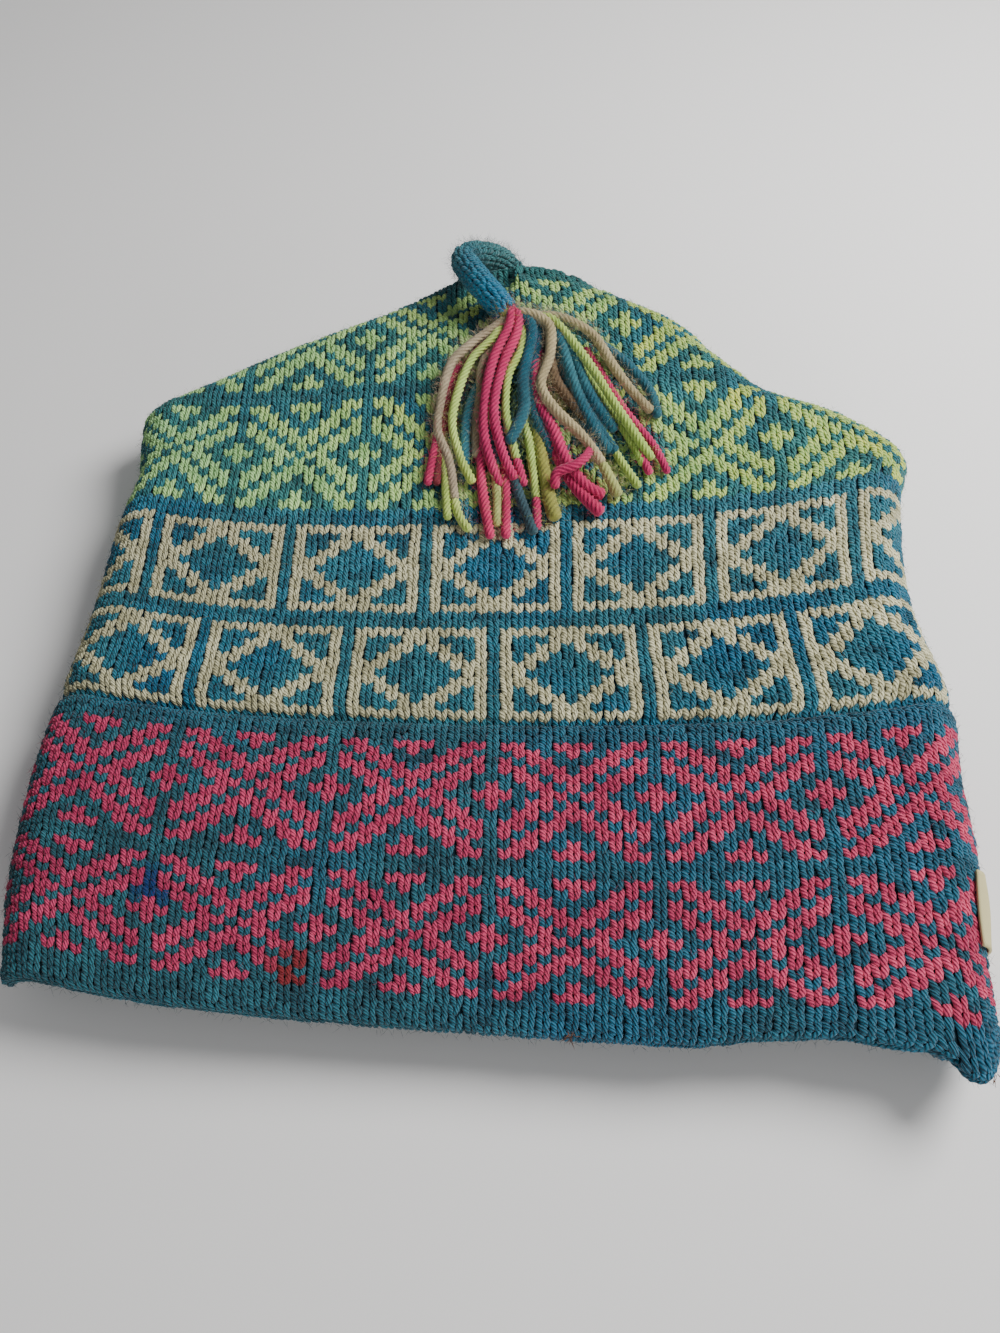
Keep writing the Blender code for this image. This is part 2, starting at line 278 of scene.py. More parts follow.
def fade(row, rows):
    """What is left at a row of a shape that fades out over the first rows."""
    return max(0.0, 1 - row / rows) ** HEM_FADE


def read_off(pairs, value):
    """Read a value off a table of pairs, on a straight line from pair to pair."""
    return np.interp(value, *zip(*pairs))


print(len(SECTIONS), "sections from hem to ridge")

# %% [markdown]
# A closed line runs round the hat at each row: along the front, over the right fold, back under
# the hat and up the left fold. These lines carry everything that is knitted.

# %% Closed lines round the hat
FRONT_POINTS = 90
FOLD_POINTS = 25
HALF_FOLD = FOLD_POINTS // 2


def closed_line(row, inset=0.0, forward=0.0):
    """The points of one line, from the left end of the front and round, in millimetres."""
    row = min(max(row, 0), RIDGE_ROW)
    s = section(row)
    reach = {side: fold_reach(row, s, side) for side in ("left", "right")}
    start, end = s["x_left"] + reach["left"], s["x_right"] - reach["right"]

    def y_at(t):
        return s["y"] + s["tilt"] * t + s["bow"] * t**4

    t = np.linspace(-1, 1, FRONT_POINTS)
    side = np.where(t < 0, s["left"], s["right"])
    height = s["middle"] + (side - s["middle"]) * ramp(abs(t))
    x = (start + end) / 2 + t * (end - start) / 2
    front = np.column_stack([x, y_at(t), height - inset])
    back = np.column_stack([x, y_at(t), np.full_like(t, inset)])[::-1]
    turn = np.linspace(math.pi / 2, -math.pi / 2, FOLD_POINTS + 2)[1:-1]
    folds = {}
    for side, outwards, root in (("right", 1, end), ("left", -1, start)):
        radius = s[side] / 2
        shrink = (radius - inset) / radius
        x = root + outwards * reach[side] * shrink * np.cos(turn)
        z = radius + (radius - inset) * np.sin(turn)
        folds[side] = np.column_stack([x, np.full_like(turn, y_at(outwards)), z])
    line = np.vstack([front, folds["right"], back, folds["left"][::-1]])
    low = (HEM_STEP_HIGH - line[:, 2]) / (HEM_STEP_HIGH - HEM_STEP_LOW)
    line[:, 1] -= forward + read_off(HEM_WAVE, line[:, 0]) * fade(row, WAVE_ROWS)
    line[:, 1] += HEM_STEP * ramp(np.clip(low, 0, 1)) * fade(row, HEM_STEP_ROWS)
    return line


RIGHT_EXTREME = FRONT_POINTS + HALF_FOLD
LEFT_EXTREME = 2 * FRONT_POINTS + FOLD_POINTS + HALF_FOLD
print("points in a line:", len(closed_line(10)))

# %% [markdown]
# The cuff is a doubled band. Its outer face turns over a round hem at the bottom and a round lip
# at the top, so its lines run on past row 0 and past the groove. The crown starts a little deeper,
# inside the cuff, and swells out over a few rows.

# %% Lines of the cuff, the crown and the closed end
ROW_TALL = 2.57
STITCH_WIDE = 3.63
LIP = CUFF_WALL / 2


def cuff_line(row, inset=0.0):
    """A line of the outer face, and of the lips and the inner face beyond its two ends."""
    beyond = max(row - GROOVE_ROW, -row, 0.0)
    edge, sign = (GROOVE_ROW, -1) if row > 0 else (0, 1)
    angle = beyond * ROW_TALL / LIP
    if not beyond:
        return closed_line(row, inset)
    if angle <= math.pi:
        round_lip = LIP - inset
        return closed_line(edge, LIP - round_lip * math.cos(angle), sign * round_lip * math.sin(angle))
    inwards = (angle - math.pi) * LIP / ROW_TALL
    return closed_line(edge + sign * inwards, CUFF_WALL - inset)


def tuck(row):
    """How far the crown's surface lies behind the cuff's, just above the groove."""
    deep = TUCK * max(0.0, 1 - (row - GROOVE_ROW) / TUCK_ROWS)
    return min(TUCK, deep + max(0.0, GROOVE_ROW + TUCK_ROWS / 2 - row) * TUCK_SLOPE)


def crown_line(row, inset=0.0):
    return closed_line(row, inset + tuck(row))


def cap_line(turn, inset=0.0):
    """The rounded end behind the ridge, turn from 0 at the ridge to 90 degrees at its middle."""
    last = closed_line(RIDGE_ROW, inset)
    s = section(RIDGE_ROW)
    middle = np.array([(s["x_left"] + s["x_right"]) / 2, s["y"], np.ptp(last[:, 2]) / 2 + inset])
    lift = np.array([0, (CAP_DEPTH - inset) * math.sin(turn), 0])
    return middle + (last - middle) * math.cos(turn) + lift


# %% [markdown]
# A patch turns a place counted in stitches, a column and a row, into a point and the direction
# that faces out of the cloth. The columns run straight up the hat from the hem. Above the
# shoulders the hat narrows, and the outer columns are cut off one after another. The cloth of the
# right corner of the hem is stretched outwards and sags, which two small tables say.

# %% Patches: from column and row to a point on the cloth
CENTRE_LINE = [(0, -4), (32, -2), (46, -2), (60, -1), (75, -1), (90, -3)]
SHOULDER_ROW = 62
SIDE_COLUMNS = {"front": 37, "back": 35}
LINE_STEP = 0.5
COLUMN_STEP = 0.25
SPARE_COLUMNS = 2
JUST_INSIDE = 1.001
GATHER_ROWS = (76, 88)
GATHER_SHARE = 0.5

# Pairs of a column and millimetres outwards, and of a row and the share of this that is left
STRETCH = {
    "front": [(20, 0), (24, 1.7), (26, 3.5), (30, 7.4), (33, 7.5), (37, 4)],
    "back": [(-35, 4), (-22, 0)],
}
STRETCH_ROWS = [(0, 1), (3, 1), (9, 0.75), (15, 0.47), (18, 0.36), (30, 0)]

# Pairs of a front column and rows downwards, and of a row and the share of this that is left
SAG = [(24, 0), (26, 0.4), (28, 1.1), (30, 1.9), (33, 2.4)]
SAG_ROWS = [(0, 0), (3, 0.35), (6, 0.8), (9, 1), (12, 0.7), (16, 0.1), (20, 0)]


def unit(vectors):
    """The same directions, with a length of one."""
    return vectors / np.maximum(np.linalg.norm(vectors, axis=-1, keepdims=True), 1e-9)


def looped(line):
    """A closed line with its first point again at its end."""
    return np.vstack([line, line[:1]])


def points_at(along, distance, line):
    """Points of a line at some distances, where distance holds that of each of its own points."""
    return np.stack([np.interp(along, distance, line[:, k]) for k in range(3)], axis=-1)


def arcs(line, row=0):
    """Distance along a closed line from its first point, with the whole length as the last value.

    Near the ridge the cloth is gathered, and the heights of the line count for less.
    """
    low, high = GATHER_ROWS
    rise = 1 - GATHER_SHARE * ramp(min(max((row - low) / (high - low), 0), 1))
    steps = np.linalg.norm(np.diff(looped(line)[:, [0, 2]], axis=0) * [1, rise], axis=1)
    return np.concatenate([[0], np.cumsum(steps)])


def centre_of(row, line, distance, face):
    """Where the middle column of the front or the back crosses a line."""
    x = read_off(CENTRE_LINE, row)
    if face == "front":
        upper = np.concatenate([line[LEFT_EXTREME:], line[: RIGHT_EXTREME + 1]])
        left = distance[LEFT_EXTREME:-1] - distance[-1]
        return np.interp(x, upper[:, 0], np.concatenate([left, distance[: RIGHT_EXTREME + 1]]))
    under = slice(RIGHT_EXTREME, LEFT_EXTREME + 1)
    return np.interp(-x, -line[under, 0], distance[under])


def spacing(row, line_of, face):
    """The two numbers that space the columns of a row, and how far the row reaches each way."""
    line = line_of(row)
    distance = arcs(line, row)
    centre = centre_of(row, line, distance, face)
    right, left = distance[RIGHT_EXTREME], distance[LEFT_EXTREME]
    if face == "front":
        back_way, forth_way = centre - (left - distance[-1]), right - centre
    else:
        back_way, forth_way = centre - right, left - centre
    count = SIDE_COLUMNS[face]
    even, lean = (forth_way + back_way) / 2 / count, (forth_way - back_way) / 2 / count**2
    return even, lean, back_way, forth_way


def column_at(distance, even, lean):
    """The column that lies at a distance from the middle one, to its left if this is negative."""
    return 2 * distance / (even + math.sqrt(even**2 + 4 * lean * distance))


def make_patch(line_of, low, high, face):
    """A grid of points of the cloth, and how many columns fit each way at each row."""
    rows = np.arange(low, high + LINE_STEP / 2, LINE_STEP)
    reach = SIDE_COLUMNS[face] + SPARE_COLUMNS
    columns = np.arange(-reach, reach + COLUMN_STEP / 2, COLUMN_STEP)
    grid, room = [], []
    for row in rows:
        line = line_of(row)
        distance = arcs(line, row)
        even, lean, _, _ = spacing(min(row, SHOULDER_ROW), line_of, face)
        _, _, back_way, forth_way = spacing(row, line_of, face)
        along = centre_of(row, line, distance, face) + even * columns + lean * columns**2
        along += read_off(STRETCH[face], columns) * read_off(STRETCH_ROWS, row)
        grid.append(points_at(along % distance[-1], distance, looped(line)))
        room.append((-column_at(-back_way, even, lean), column_at(forth_way, even, lean)))
    grid = np.array(grid)
    normal = unit(np.cross(np.gradient(grid, axis=1), np.gradient(grid, axis=0)))
    patch = {"face": face, "rows": rows, "columns": columns, "room": np.array(room)}
    return {**patch, "grid": grid, "normal": normal}


def on_patch(patch, column, row):
    """Points and outward directions at arrays of columns and rows."""
    if patch["face"] == "front":
        row = row - read_off(SAG, column) * read_off(SAG_ROWS, row)
    i = np.clip((row - patch["rows"][0]) / LINE_STEP, 0, len(patch["rows"]) - JUST_INSIDE)
    j = np.clip((column - patch["columns"][0]) / COLUMN_STEP, 0, len(patch["columns"]) - JUST_INSIDE)
    i0, j0 = i.astype(int), j.astype(int)
    a, b = (i - i0)[..., None], (j - j0)[..., None]
    found = []
    for g in (patch["grid"], patch["normal"]):
        low = g[i0, j0] * (1 - a) * (1 - b) + g[i0, j0 + 1] * (1 - a) * b
        found.append(low + g[i0 + 1, j0] * a * (1 - b) + g[i0 + 1, j0 + 1] * a * b)
    return found


HEM_ROWS = 8
PATCHES = {}
for face in ("front", "back"):
    PATCHES["cuff", face] = make_patch(cuff_line, -HEM_ROWS - 1, GROOVE_ROW + 2.5, face)
    PATCHES["crown", face] = make_patch(crown_line, 33, RIDGE_ROW, face)
print("patches:", list(PATCHES))

# %% [markdown]
# The charts. Each letter is one stitch, read from the top row down, and the repeat is twelve
# stitches wide, so it fits twelve times round the 144 stitches. The flake is used in pink on the
# cuff and in lime on the crown. The box is used in cream, with one plain column between boxes.

# %% The charts and where they lie
FLAKE = """
.XX..XXX..XX
..XX..X..XX.
.X.XX...XX.X
.XX.XX.XX.XX
..XX.XXX.XX.
X..XX.X.XX..
XX..XX.XX..X
X..XX.X.XX..
..XX.XXX.XX.
.XX.XX.XX.XX
.X.XX...XX.X
..XX..X..XX.
.XX..XXX..XX
""".split()
BOX = """
.XXXXXXXXXXX
.X...XXX...X
.X..XX.XX..X
.X.XX...XX.X
.XXX.....XXX
.XX.......XX
.XXX.....XXX
.X.XX...XX.X
.X..XX.XX..X
.X...XXX...X
.XXXXXXXXXXX
""".split()
REPEAT = 12


def table(columns, *lines):
    """The lines of a table as rows with named values."""
    return [dict(zip(columns.split(), line)) for line in lines]


BANDS = table(
    "first_row chart yarn shift",
    (3, FLAKE, "pink", 0),
    (18, FLAKE, "pink", 0),
    (34, BOX, "cream", 0),
    (47, BOX, "cream", 6),
    (60, FLAKE, "lime", 0),
    (75, FLAKE, "lime", 0),
)


def yarn_at(column, row):
    """The yarn of one stitch: its band's colour where the chart has a cross, and else teal."""
    for band in BANDS:
        step = row - band["first_row"]
        if 0 <= step < len(band["chart"]):
            letters = band["chart"][len(band["chart"]) - 1 - step]
            return band["yarn"] if letters[(column - band["shift"]) % REPEAT] == "X" else "teal"
    return "teal"


print("row 9 of the front:", "".join(yarn_at(c, 9)[0] for c in range(-12, 13)))

# %% [markdown]
# One stitch is a V of two legs. A leg is a plump spindle of yarn: it comes out from inside the
# stitch below, runs up and outwards, and dives under the stitch above. It is drawn once from the
# upper half of a small sphere, since its underside is never seen, and mirrored. Then it is copied
# to every place on the patches, as arrays for one joined mesh.

# %% The stitch
LEG_FOOT = Vector((0.34, -1.15, -0.40))
LEG_TIP = Vector((1.50, 3.10, -0.55))
LEG_WIDTH = 0.90
LEG_DEPTH = 0.80
LEG_CROWN = 0.50
LEG_CROWN_AT = 0.46
LEG_FOOT_FAT = 1.06
LEG_THINNING = 0.18
STITCH_INSET = 0.85
POLE = 0.001


def draw_stitch(sides, rings):
    """A V in millimetres: x across, y up the hat, z out of the cloth. Returns plain arrays."""
    bm = bmesh.new()
    bmesh.ops.create_uvsphere(bm, u_segments=sides, v_segments=rings + 1, radius=1)
    buried = [face for face in bm.faces if face.calc_center_median().y < 0]
    bmesh.ops.delete(bm, geom=buried, context="FACES")
    around = {v: math.atan2(max(v.co.y, 0), v.co.x) / (2 * math.pi) for v in bm.verts}
    along = {v: (1 - v.co.z) / 2 for v in bm.verts}
    way = (LEG_TIP - LEG_FOOT).normalized()
    out = Vector((0, 0, 1))
    beside = way.cross(out).normalized()
    upright = beside.cross(way)
    for v in bm.verts:
        t = along[v]
        line = LEG_FOOT.lerp(LEG_TIP, t) + out * LEG_CROWN * (1 - (2 * (t - LEG_CROWN_AT)) ** 2)
        fat = LEG_FOOT_FAT - LEG_THINNING * t
        v.co = line + beside * v.co.x * LEG_WIDTH * fat + upright * v.co.y * LEG_DEPTH * fat
    bmesh.ops.triangulate(bm, faces=bm.faces[:])
    uv = bm.loops.layers.uv.new("yarn")
    for face in bm.faces:
        verts = [loop.vert for loop in face.loops]
        plain = {v: around[v] for v in verts if POLE < along[v] < 1 - POLE}
        for loop in face.loops:
            turn = plain.get(loop.vert, np.mean(list(plain.values())))
            loop[uv].uv = (turn, along[loop.vert])
    copy = bmesh.ops.duplicate(bm, geom=bm.verts[:] + bm.edges[:] + bm.faces[:])["geom"]
    bmesh.ops.scale(bm, vec=(-1, 1, 1), verts=[g for g in copy if isinstance(g, bmesh.types.BMVert)])
    twins = [g for g in copy if isinstance(g, bmesh.types.BMFace)]
    bmesh.ops.reverse_faces(bm, faces=twins)
    for face in twins:
        for loop in face.loops:
            loop[uv].uv.x = 0.5 - loop[uv].uv.x
    bm.verts.index_update()
    points = np.array([v.co[:] for v in bm.verts])
    corners = np.array([[loop.vert.index for loop in face.loops] for face in bm.faces])
    uvs = np.array([[loop[uv].uv[:] for loop in face.loops] for face in bm.faces])
    bm.free()
    return {"points": points, "corners": corners, "uvs": uvs}


FINE_STITCH = draw_stitch(sides=8, rings=4)
PLAIN_STITCH = draw_stitch(sides=6, rings=2)
for stitch in (FINE_STITCH, PLAIN_STITCH):
    print("a stitch has", len(stitch["corners"]), "triangles")

# %% [markdown]
# Hand knitting is never quite even. Each stitch gets a little of its own lean, size, height and
# tone, drawn from one seeded source, so the cloth looks alive and still comes out the same. A
# table names the soiled places, by stitch and row, and how far they reach.

# %% Lay stitches on a patch
UNEVEN = {"size": 0.05, "lean": 0.06, "column": 0.045, "row": 0.06, "height": 0.10}
MARKS = table(
    "yarn column row wide tall",
    ("pink", -13.5, 4.0, 1.8, 3.4),
    ("cuff_teal", -23.8, 11.5, 1.5, 2.6),
)


def marks_at(yarn, places):
    """How soiled each stitch of a yarn is, from 0 to 1."""
    column, row = np.array(places, float).T
    found = np.zeros(len(places))
    for mark in MARKS:
        if mark["yarn"] == yarn:
            across, up = (column - mark["column"]) / mark["wide"], (row - mark["row"]) / mark["tall"]
            found = np.maximum(found, np.exp(-((across**2 + up**2) ** 2)))
    return found


def copies(points, shape, tone, mark):
    """Arrays for copies of one shape, each with its own points in millimetres, tone and mark."""
    count, size = points.shape[:2]
    return {
        "points": points.reshape(-1, 3) * MM,
        "corners": (shape["corners"][None] + (np.arange(count) * size)[:, None, None]).reshape(-1, 3),
        "uvs": np.tile(shape["uvs"].reshape(-1, 2), (count, 1)),
        "tone": np.repeat(tone, size),
        "mark": np.repeat(mark, size),
    }


def lay(patch_of, stitch, places, wide=1.0, marks=0.0):
    """Copies of a stitch at (column, row) places, as arrays for one mesh."""
    places = np.array(places, float)
    count = len(places)
    uneven = {name: rng.normal(0, share, (count, 1)) for name, share in UNEVEN.items()}
    x, y, z = (stitch["points"][:, k][None, :] for k in range(3))
    size = 1 + uneven["size"]
    across = (x * size + (y - 1) * uneven["lean"]) / STITCH_WIDE * np.full(count, wide)[:, None]
    column = places[:, :1] + uneven["column"] + across
    row = places[:, 1:] + uneven["row"] + y / ROW_TALL
    out = z * size + uneven["height"] - STITCH_INSET
    ground, normal = patch_of(column, row)
    tone = rng.uniform(0, 1, count)
    return copies(ground + normal * out[..., None], stitch, tone, np.full(count, marks))


def add_object(name, data, finish):
    """A smooth mesh as an object with its finish."""
    data.shade_smooth()
    data.materials.append(finish)
    print(name, len(data.polygons), "faces")
    return add_to_scene(name, data)


def add_joined(name, parts, finish):
    """One mesh object from several laid parts."""
    joined = {}
    for key in ("points", "uvs", "tone", "mark"):
        joined[key] = np.concatenate([part[key] for part in parts])
    starts = np.cumsum([0] + [len(part["points"]) for part in parts])
    corners = np.vstack([part["corners"] + start for part, start in zip(parts, starts)])
    data = bpy.data.meshes.new(name)
    data.vertices.add(len(joined["points"]))
    data.vertices.foreach_set("co", joined["points"].ravel())
    data.loops.add(corners.size)
    data.loops.foreach_set("vertex_index", corners.ravel().astype(np.int32))
    data.polygons.add(len(corners))
    data.polygons.foreach_set("loop_start", np.arange(0, corners.size, 3, dtype=np.int32))
    data.update(calc_edges=True)
    data.uv_layers.new(name="yarn").uv.foreach_set("vector", joined["uvs"].ravel())
    for key in ("tone", "mark"):
        data.attributes.new(key, "FLOAT", "POINT").data.foreach_set("value", joined[key])
    return add_object(name, data, finish)


# %% [markdown]
# Wool is hairy. Short loose fibres lie on the stitches and stand out along the edges. Each is a
# very thin spindle, bent in its middle, of six triangles.

# %% Loose fibres
HAIR_RADIUS = 0.045
HAIR_BEND = 0.35
HAIR_LENGTHS = (0.5, 1.5)
HAIR_TONES = (0.5, 1)
HAIR_ANGLES = (0, 2.1, 4.2)
HAIR = {
    "corners": np.array([(0, 3, 2), (0, 4, 3), (0, 2, 4), (1, 2, 3), (1, 3, 4), (1, 4, 2)]),
    "uvs": np.full((6, 3, 2), 0.25),
}


def hairs(roots, outwards, length, lift, radius=HAIR_RADIUS):
    """Thin bent spindles from points on the cloth, as arrays for a joined mesh."""
    count = len(roots)
    reach = length * rng.uniform(*HAIR_LENGTHS, (count, 1))
    flat = rng.normal(0, 1, (count, 3))
    flat = unit(flat - outwards * np.sum(flat * outwards, axis=1, keepdims=True))
    way = unit(flat + outwards * rng.uniform(0, lift, (count, 1)))
    beside = np.cross(way, outwards)
    middle = roots + way * reach / 2
    tip = middle + unit(way + beside * rng.normal(0, HAIR_BEND, (count, 1))) * reach / 2
    upright = np.cross(beside, way)
    ring = [middle + (beside * math.cos(a) + upright * math.sin(a)) * radius for a in HAIR_ANGLES]
    points = np.stack([roots, tip, *ring], axis=1)
    return copies(points, HAIR, rng.uniform(*HAIR_TONES, count), np.zeros(count))


# %% [markdown]
# Wool yarn is matt and never one flat colour: each stitch is a shade lighter or darker, the dye
# drifts over the cloth to a second colour, and fine fibres mottle it. Shade is painted into the
# grooves between the plies, and light and shade are painted from left to right by leaning towards
# the second colour on the right side. Soiled places take a colour of their own. One node group does
# this for every yarn.

# %% Helpers for materials
NODES_IN_COLUMN = 6


def linear(red, green, blue):
    """A colour given in the usual 0 to 255 steps, as the linear numbers that a shader needs."""
    steps = (v / 255 for v in (red, green, blue))
    return (*(v / 12.92 if v <= 0.04045 else ((v + 0.055) / 1.055) ** 2.4 for v in steps), 1)


def new_node(tree, kind, **values):
    """A node, set out in columns in the order in which the nodes are made."""
    node = tree.nodes.new(kind)
    column, line = divmod(len(tree.nodes), NODES_IN_COLUMN)
    node.location = (column * 200, -line * 200)
    for key, value in values.items():
        setattr(node, key, value)
    return node


def socket_values(node, **values):
    """Plain values for a node's sockets, with an underline for each space in a socket's name."""
    for key, value in values.items():
        node.inputs[key.replace("_", " ")].default_value = value
    return node


def feed(tree, socket, value):
    """Give a socket a plain value, or link another node's output to it."""
    if isinstance(value, bpy.types.NodeSocket):
        tree.links.new(value, socket)
    else:
        socket.default_value = value


def calculate(tree, operation, first, second, clamp=False):
    node = new_node(tree, "ShaderNodeMath", operation=operation, use_clamp=clamp)
    feed(tree, node.inputs[0], first)
    feed(tree, node.inputs[1], second)
    return node.outputs[0]


def mix_colour(tree, factor, first, second):
    node = new_node(tree, "ShaderNodeMix", data_type="RGBA")
    for number, value in ((0, factor), (6, first), (7, second)):
        feed(tree, node.inputs[number], value)
    return node.outputs[2]


def axes_of(tree, vector):
    node = new_node(tree, "ShaderNodeSeparateXYZ")
    feed(tree, node.inputs[0], vector)
    return node.outputs


def raise_surface(tree, shader, height, strength, distance):
    """Relief from a height that another node gives."""
    relief = socket_values(new_node(tree, "ShaderNodeBump"), Strength=strength, Distance=distance)
    feed(tree, relief.inputs["Height"], height)
    feed(tree, shader.inputs["Normal"], relief.outputs["Normal"])


def new_material(name, **values):
    """A material with a plain shader, its node tree and the shader."""
    made = bpy.data.materials.new(name)
    made.use_nodes = True
    return made, made.node_tree, socket_values(made.node_tree.nodes["Principled BSDF"], **values)


# %% The yarn's node group
HAT_WIDTH = 0.28
NOISES = {
    "fibre": {"Scale": 1700, "Detail": 3, "Roughness": 0.65},
    "shade": {"Scale": 90, "Detail": 3, "Roughness": 0.6},
    "dye": {"Scale": 26, "Detail": 2, "Roughness": 0.5},
}
DYE_FROM, DYE_GAIN = 0.45, 5.0
TONE_SHARE, SHADE_SHARE, FIBRE_SHARE, SHADE_FROM = 0.40, 1.1, 0.9, 0.62
FIBRE_RELIEF = 0.8
GROUP_SOCKETS = [
    ("INPUT", "Color", ("Light", "Dark", "Other", "Soiled")),
    ("INPUT", "Float", ("Plies", "Turns", "Seam", "Sideways", "Drift")),
    ("OUTPUT", "Color", ("Colour",)),
    ("OUTPUT", "Float", ("Height",)),
]


def yarn_group():
    """The colour and the height of any wool, from its own colours and numbers."""
    group = bpy.data.node_groups.new("wool_yarn", "ShaderNodeTree")
    for way, kind, names in GROUP_SOCKETS:
        for name in names:
            group.interface.new_socket(name, in_out=way, socket_type="NodeSocket" + kind)
    given = new_node(group, "NodeGroupInput").outputs
    result = new_node(group, "NodeGroupOutput").inputs
    place = new_node(group, "ShaderNodeTexCoord").outputs["Object"]
    tone = new_node(group, "ShaderNodeAttribute", attribute_name="tone").outputs["Fac"]
    mark = new_node(group, "ShaderNodeAttribute", attribute_name="mark").outputs["Fac"]
    plan = new_node(group, "ShaderNodeUVMap", uv_map="yarn").outputs["UV"]
    noise = {}
    for name, values in NOISES.items():
        node = socket_values(new_node(group, "ShaderNodeTexNoise"), **values)
        feed(group, node.inputs["Vector"], place)
        noise[name] = node.outputs[0]
    calc = partial(calculate, group)

    around, along = axes_of(group, plan)[:2]
    turns = calc("ADD", calc("MULTIPLY", around, given["Plies"]), calc("MULTIPLY", along, given["Turns"]))
    ridge = calc("ABSOLUTE", calc("SINE", calc("MULTIPLY", turns, math.pi), 0), 0)
    height = calc("ADD", ridge, calc("MULTIPLY", noise["fibre"], FIBRE_RELIEF))
    feed(group, result["Height"], height)

    # Painted light and shade: the further right a point lies, the more its colour leans towards the other colour
    rightwards = calc("ADD", calc("DIVIDE", axes_of(group, place)[0], HAT_WIDTH), 0.5)
    painted_side_light = calc("MULTIPLY", rightwards, given["Sideways"])
    spread = calc("MULTIPLY", calc("SUBTRACT", noise["dye"], DYE_FROM), DYE_GAIN)
    drifting = calc("MULTIPLY", spread, given["Drift"], clamp=True)
    turning = calc("ADD", painted_side_light, drifting, clamp=True)
    pale = mix_colour(group, turning, given["Light"], given["Other"])

    shade = calc("ADD", calc("MULTIPLY", tone, TONE_SHARE), calc("MULTIPLY", noise["shade"], SHADE_SHARE))
    shade = calc("ADD", shade, calc("MULTIPLY", noise["fibre"], FIBRE_SHARE))
    shade = calc("SUBTRACT", shade, SHADE_FROM, clamp=True)
    colour = mix_colour(group, shade, given["Dark"], pale)
    # Painted shade: the colour darkens towards the dark colour in the grooves between the plies
    groove_shade = calc("MULTIPLY", calc("SUBTRACT", 1.0, ridge), given["Seam"])
    colour = mix_colour(group, groove_shade, colour, given["Dark"])
    colour = mix_colour(group, mark, colour, given["Soiled"])
    feed(group, result["Colour"], colour)
    return group


# %% The yarns
WOOL = yarn_group()
LOOK_COLUMNS = ("light", "dark", "other", "side_light", "drift", "soiled")
WOOL_SURFACE = {"Roughness": 0.92, "Metallic": 0.0, "Sheen_Weight": 0.18, "Sheen_Roughness": 0.45}
WOOL_SURFACE["Specular_IOR_Level"] = 0.25
WOOL_RELIEF = 0.0003


def wool(name, colours, plies=4.0, turns=-4.0, groove_shade=0.85, bump=1.0):
    """A yarn: matt, with the soft sheen of its fibres, relief from its plies and painted shade in their grooves."""
    look = dict(zip(LOOK_COLUMNS, colours))
    look.setdefault("soiled", look["dark"])
    made, tree, shader = new_material(name, **WOOL_SURFACE)
    group = new_node(tree, "ShaderNodeGroup", node_tree=WOOL)
    for key in ("light", "dark", "other", "soiled"):
        group.inputs[key.capitalize()].default_value = linear(*look[key])
    socket_values(group, Plies=plies, Turns=turns, Seam=groove_shade)
    socket_values(group, Sideways=look["side_light"], Drift=look["drift"])
    feed(tree, shader.inputs["Base Color"], group.outputs["Colour"])
    raise_surface(tree, shader, group.outputs["Height"], bump, WOOL_RELIEF)
    return made


# The columns are light, dark, other, side light (painted light and shade from left to right), drift
# and, where it isn't dark, the soiled colour
YARN_LOOKS = {
    "teal": ((56, 140, 156), (8, 46, 58), (30, 122, 172), 0.0, 0.55),
    "crown_teal": ((66, 146, 142), (14, 54, 58), (36, 126, 158), 0.0, 0.6),
    # The cuff's teal is a darker, greyer copy of the teal: partly painted shade on the cuff, partly the pink fuzz that
    # mixes in
    "cuff_teal": ((48, 120, 132), (12, 40, 52), (50, 126, 166), 0.35, 0.45, (6, 48, 100)),
    "pink": ((222, 74, 118), (132, 18, 60), (248, 92, 128), 0.9, 0.3, (124, 34, 40)),
    "cream": ((222, 218, 180), (136, 132, 98), (254, 248, 206), 0.9, 0.2),
    "lime": ((198, 250, 178), (112, 164, 98), (228, 226, 96), 0.9, 0.3),
}
YARNS = {name: wool(f"{name}_yarn", look) for name, look in YARN_LOOKS.items()}
print("yarns:", list(YARNS))

# %% [markdown]
# Now the hat is knitted. The bands are kept as separate pieces, one for each yarn, so no mesh
# grows too large. The front, which is seen close up, gets the finer stitch and the loose fibres.

# %% Knit the cuff, the tube and the crown
ZONES = table(
    "name body first_row end_row ground",
    ("hem", "cuff", -HEM_ROWS, 3, "cuff_teal"),
    ("cuff", "cuff", 3, 34, "cuff_teal"),
    ("tube", "crown", 33, 60, "teal"),
    ("crown", "crown", 60, 90, "crown_teal"),
)
HALF_ROUND = 72
ROOM_SLACK = 0.2
HAIRS_PER_STITCH = 2.6
HAIR_LENGTH = 2.6
HAIR_LIFT = 0.9
HAIR_ROOT = 0.3


def places_of(zone, face):
    """Every stitch of a zone on one face, sorted by yarn."""
    patch = PATCHES[zone["body"], face]
    reach = SIDE_COLUMNS[face] - (face == "back")
    found = {}
    for row in range(zone["first_row"], zone["end_row"]):
        line = np.clip((row + 0.5 - patch["rows"][0]) / LINE_STEP, 0, len(patch["rows"]) - 1)
        room_back, room_forth = patch["room"][int(line)]
        for column in range(-reach, reach + 1):
            if row > SHOULDER_ROW and not -room_back - ROOM_SLACK < column < room_forth + ROOM_SLACK:
                continue
            yarn = yarn_at(column + HALF_ROUND * (face == "back"), row)
            found.setdefault(zone["ground"] if yarn == "teal" else yarn, []).append((column, row))
    return found


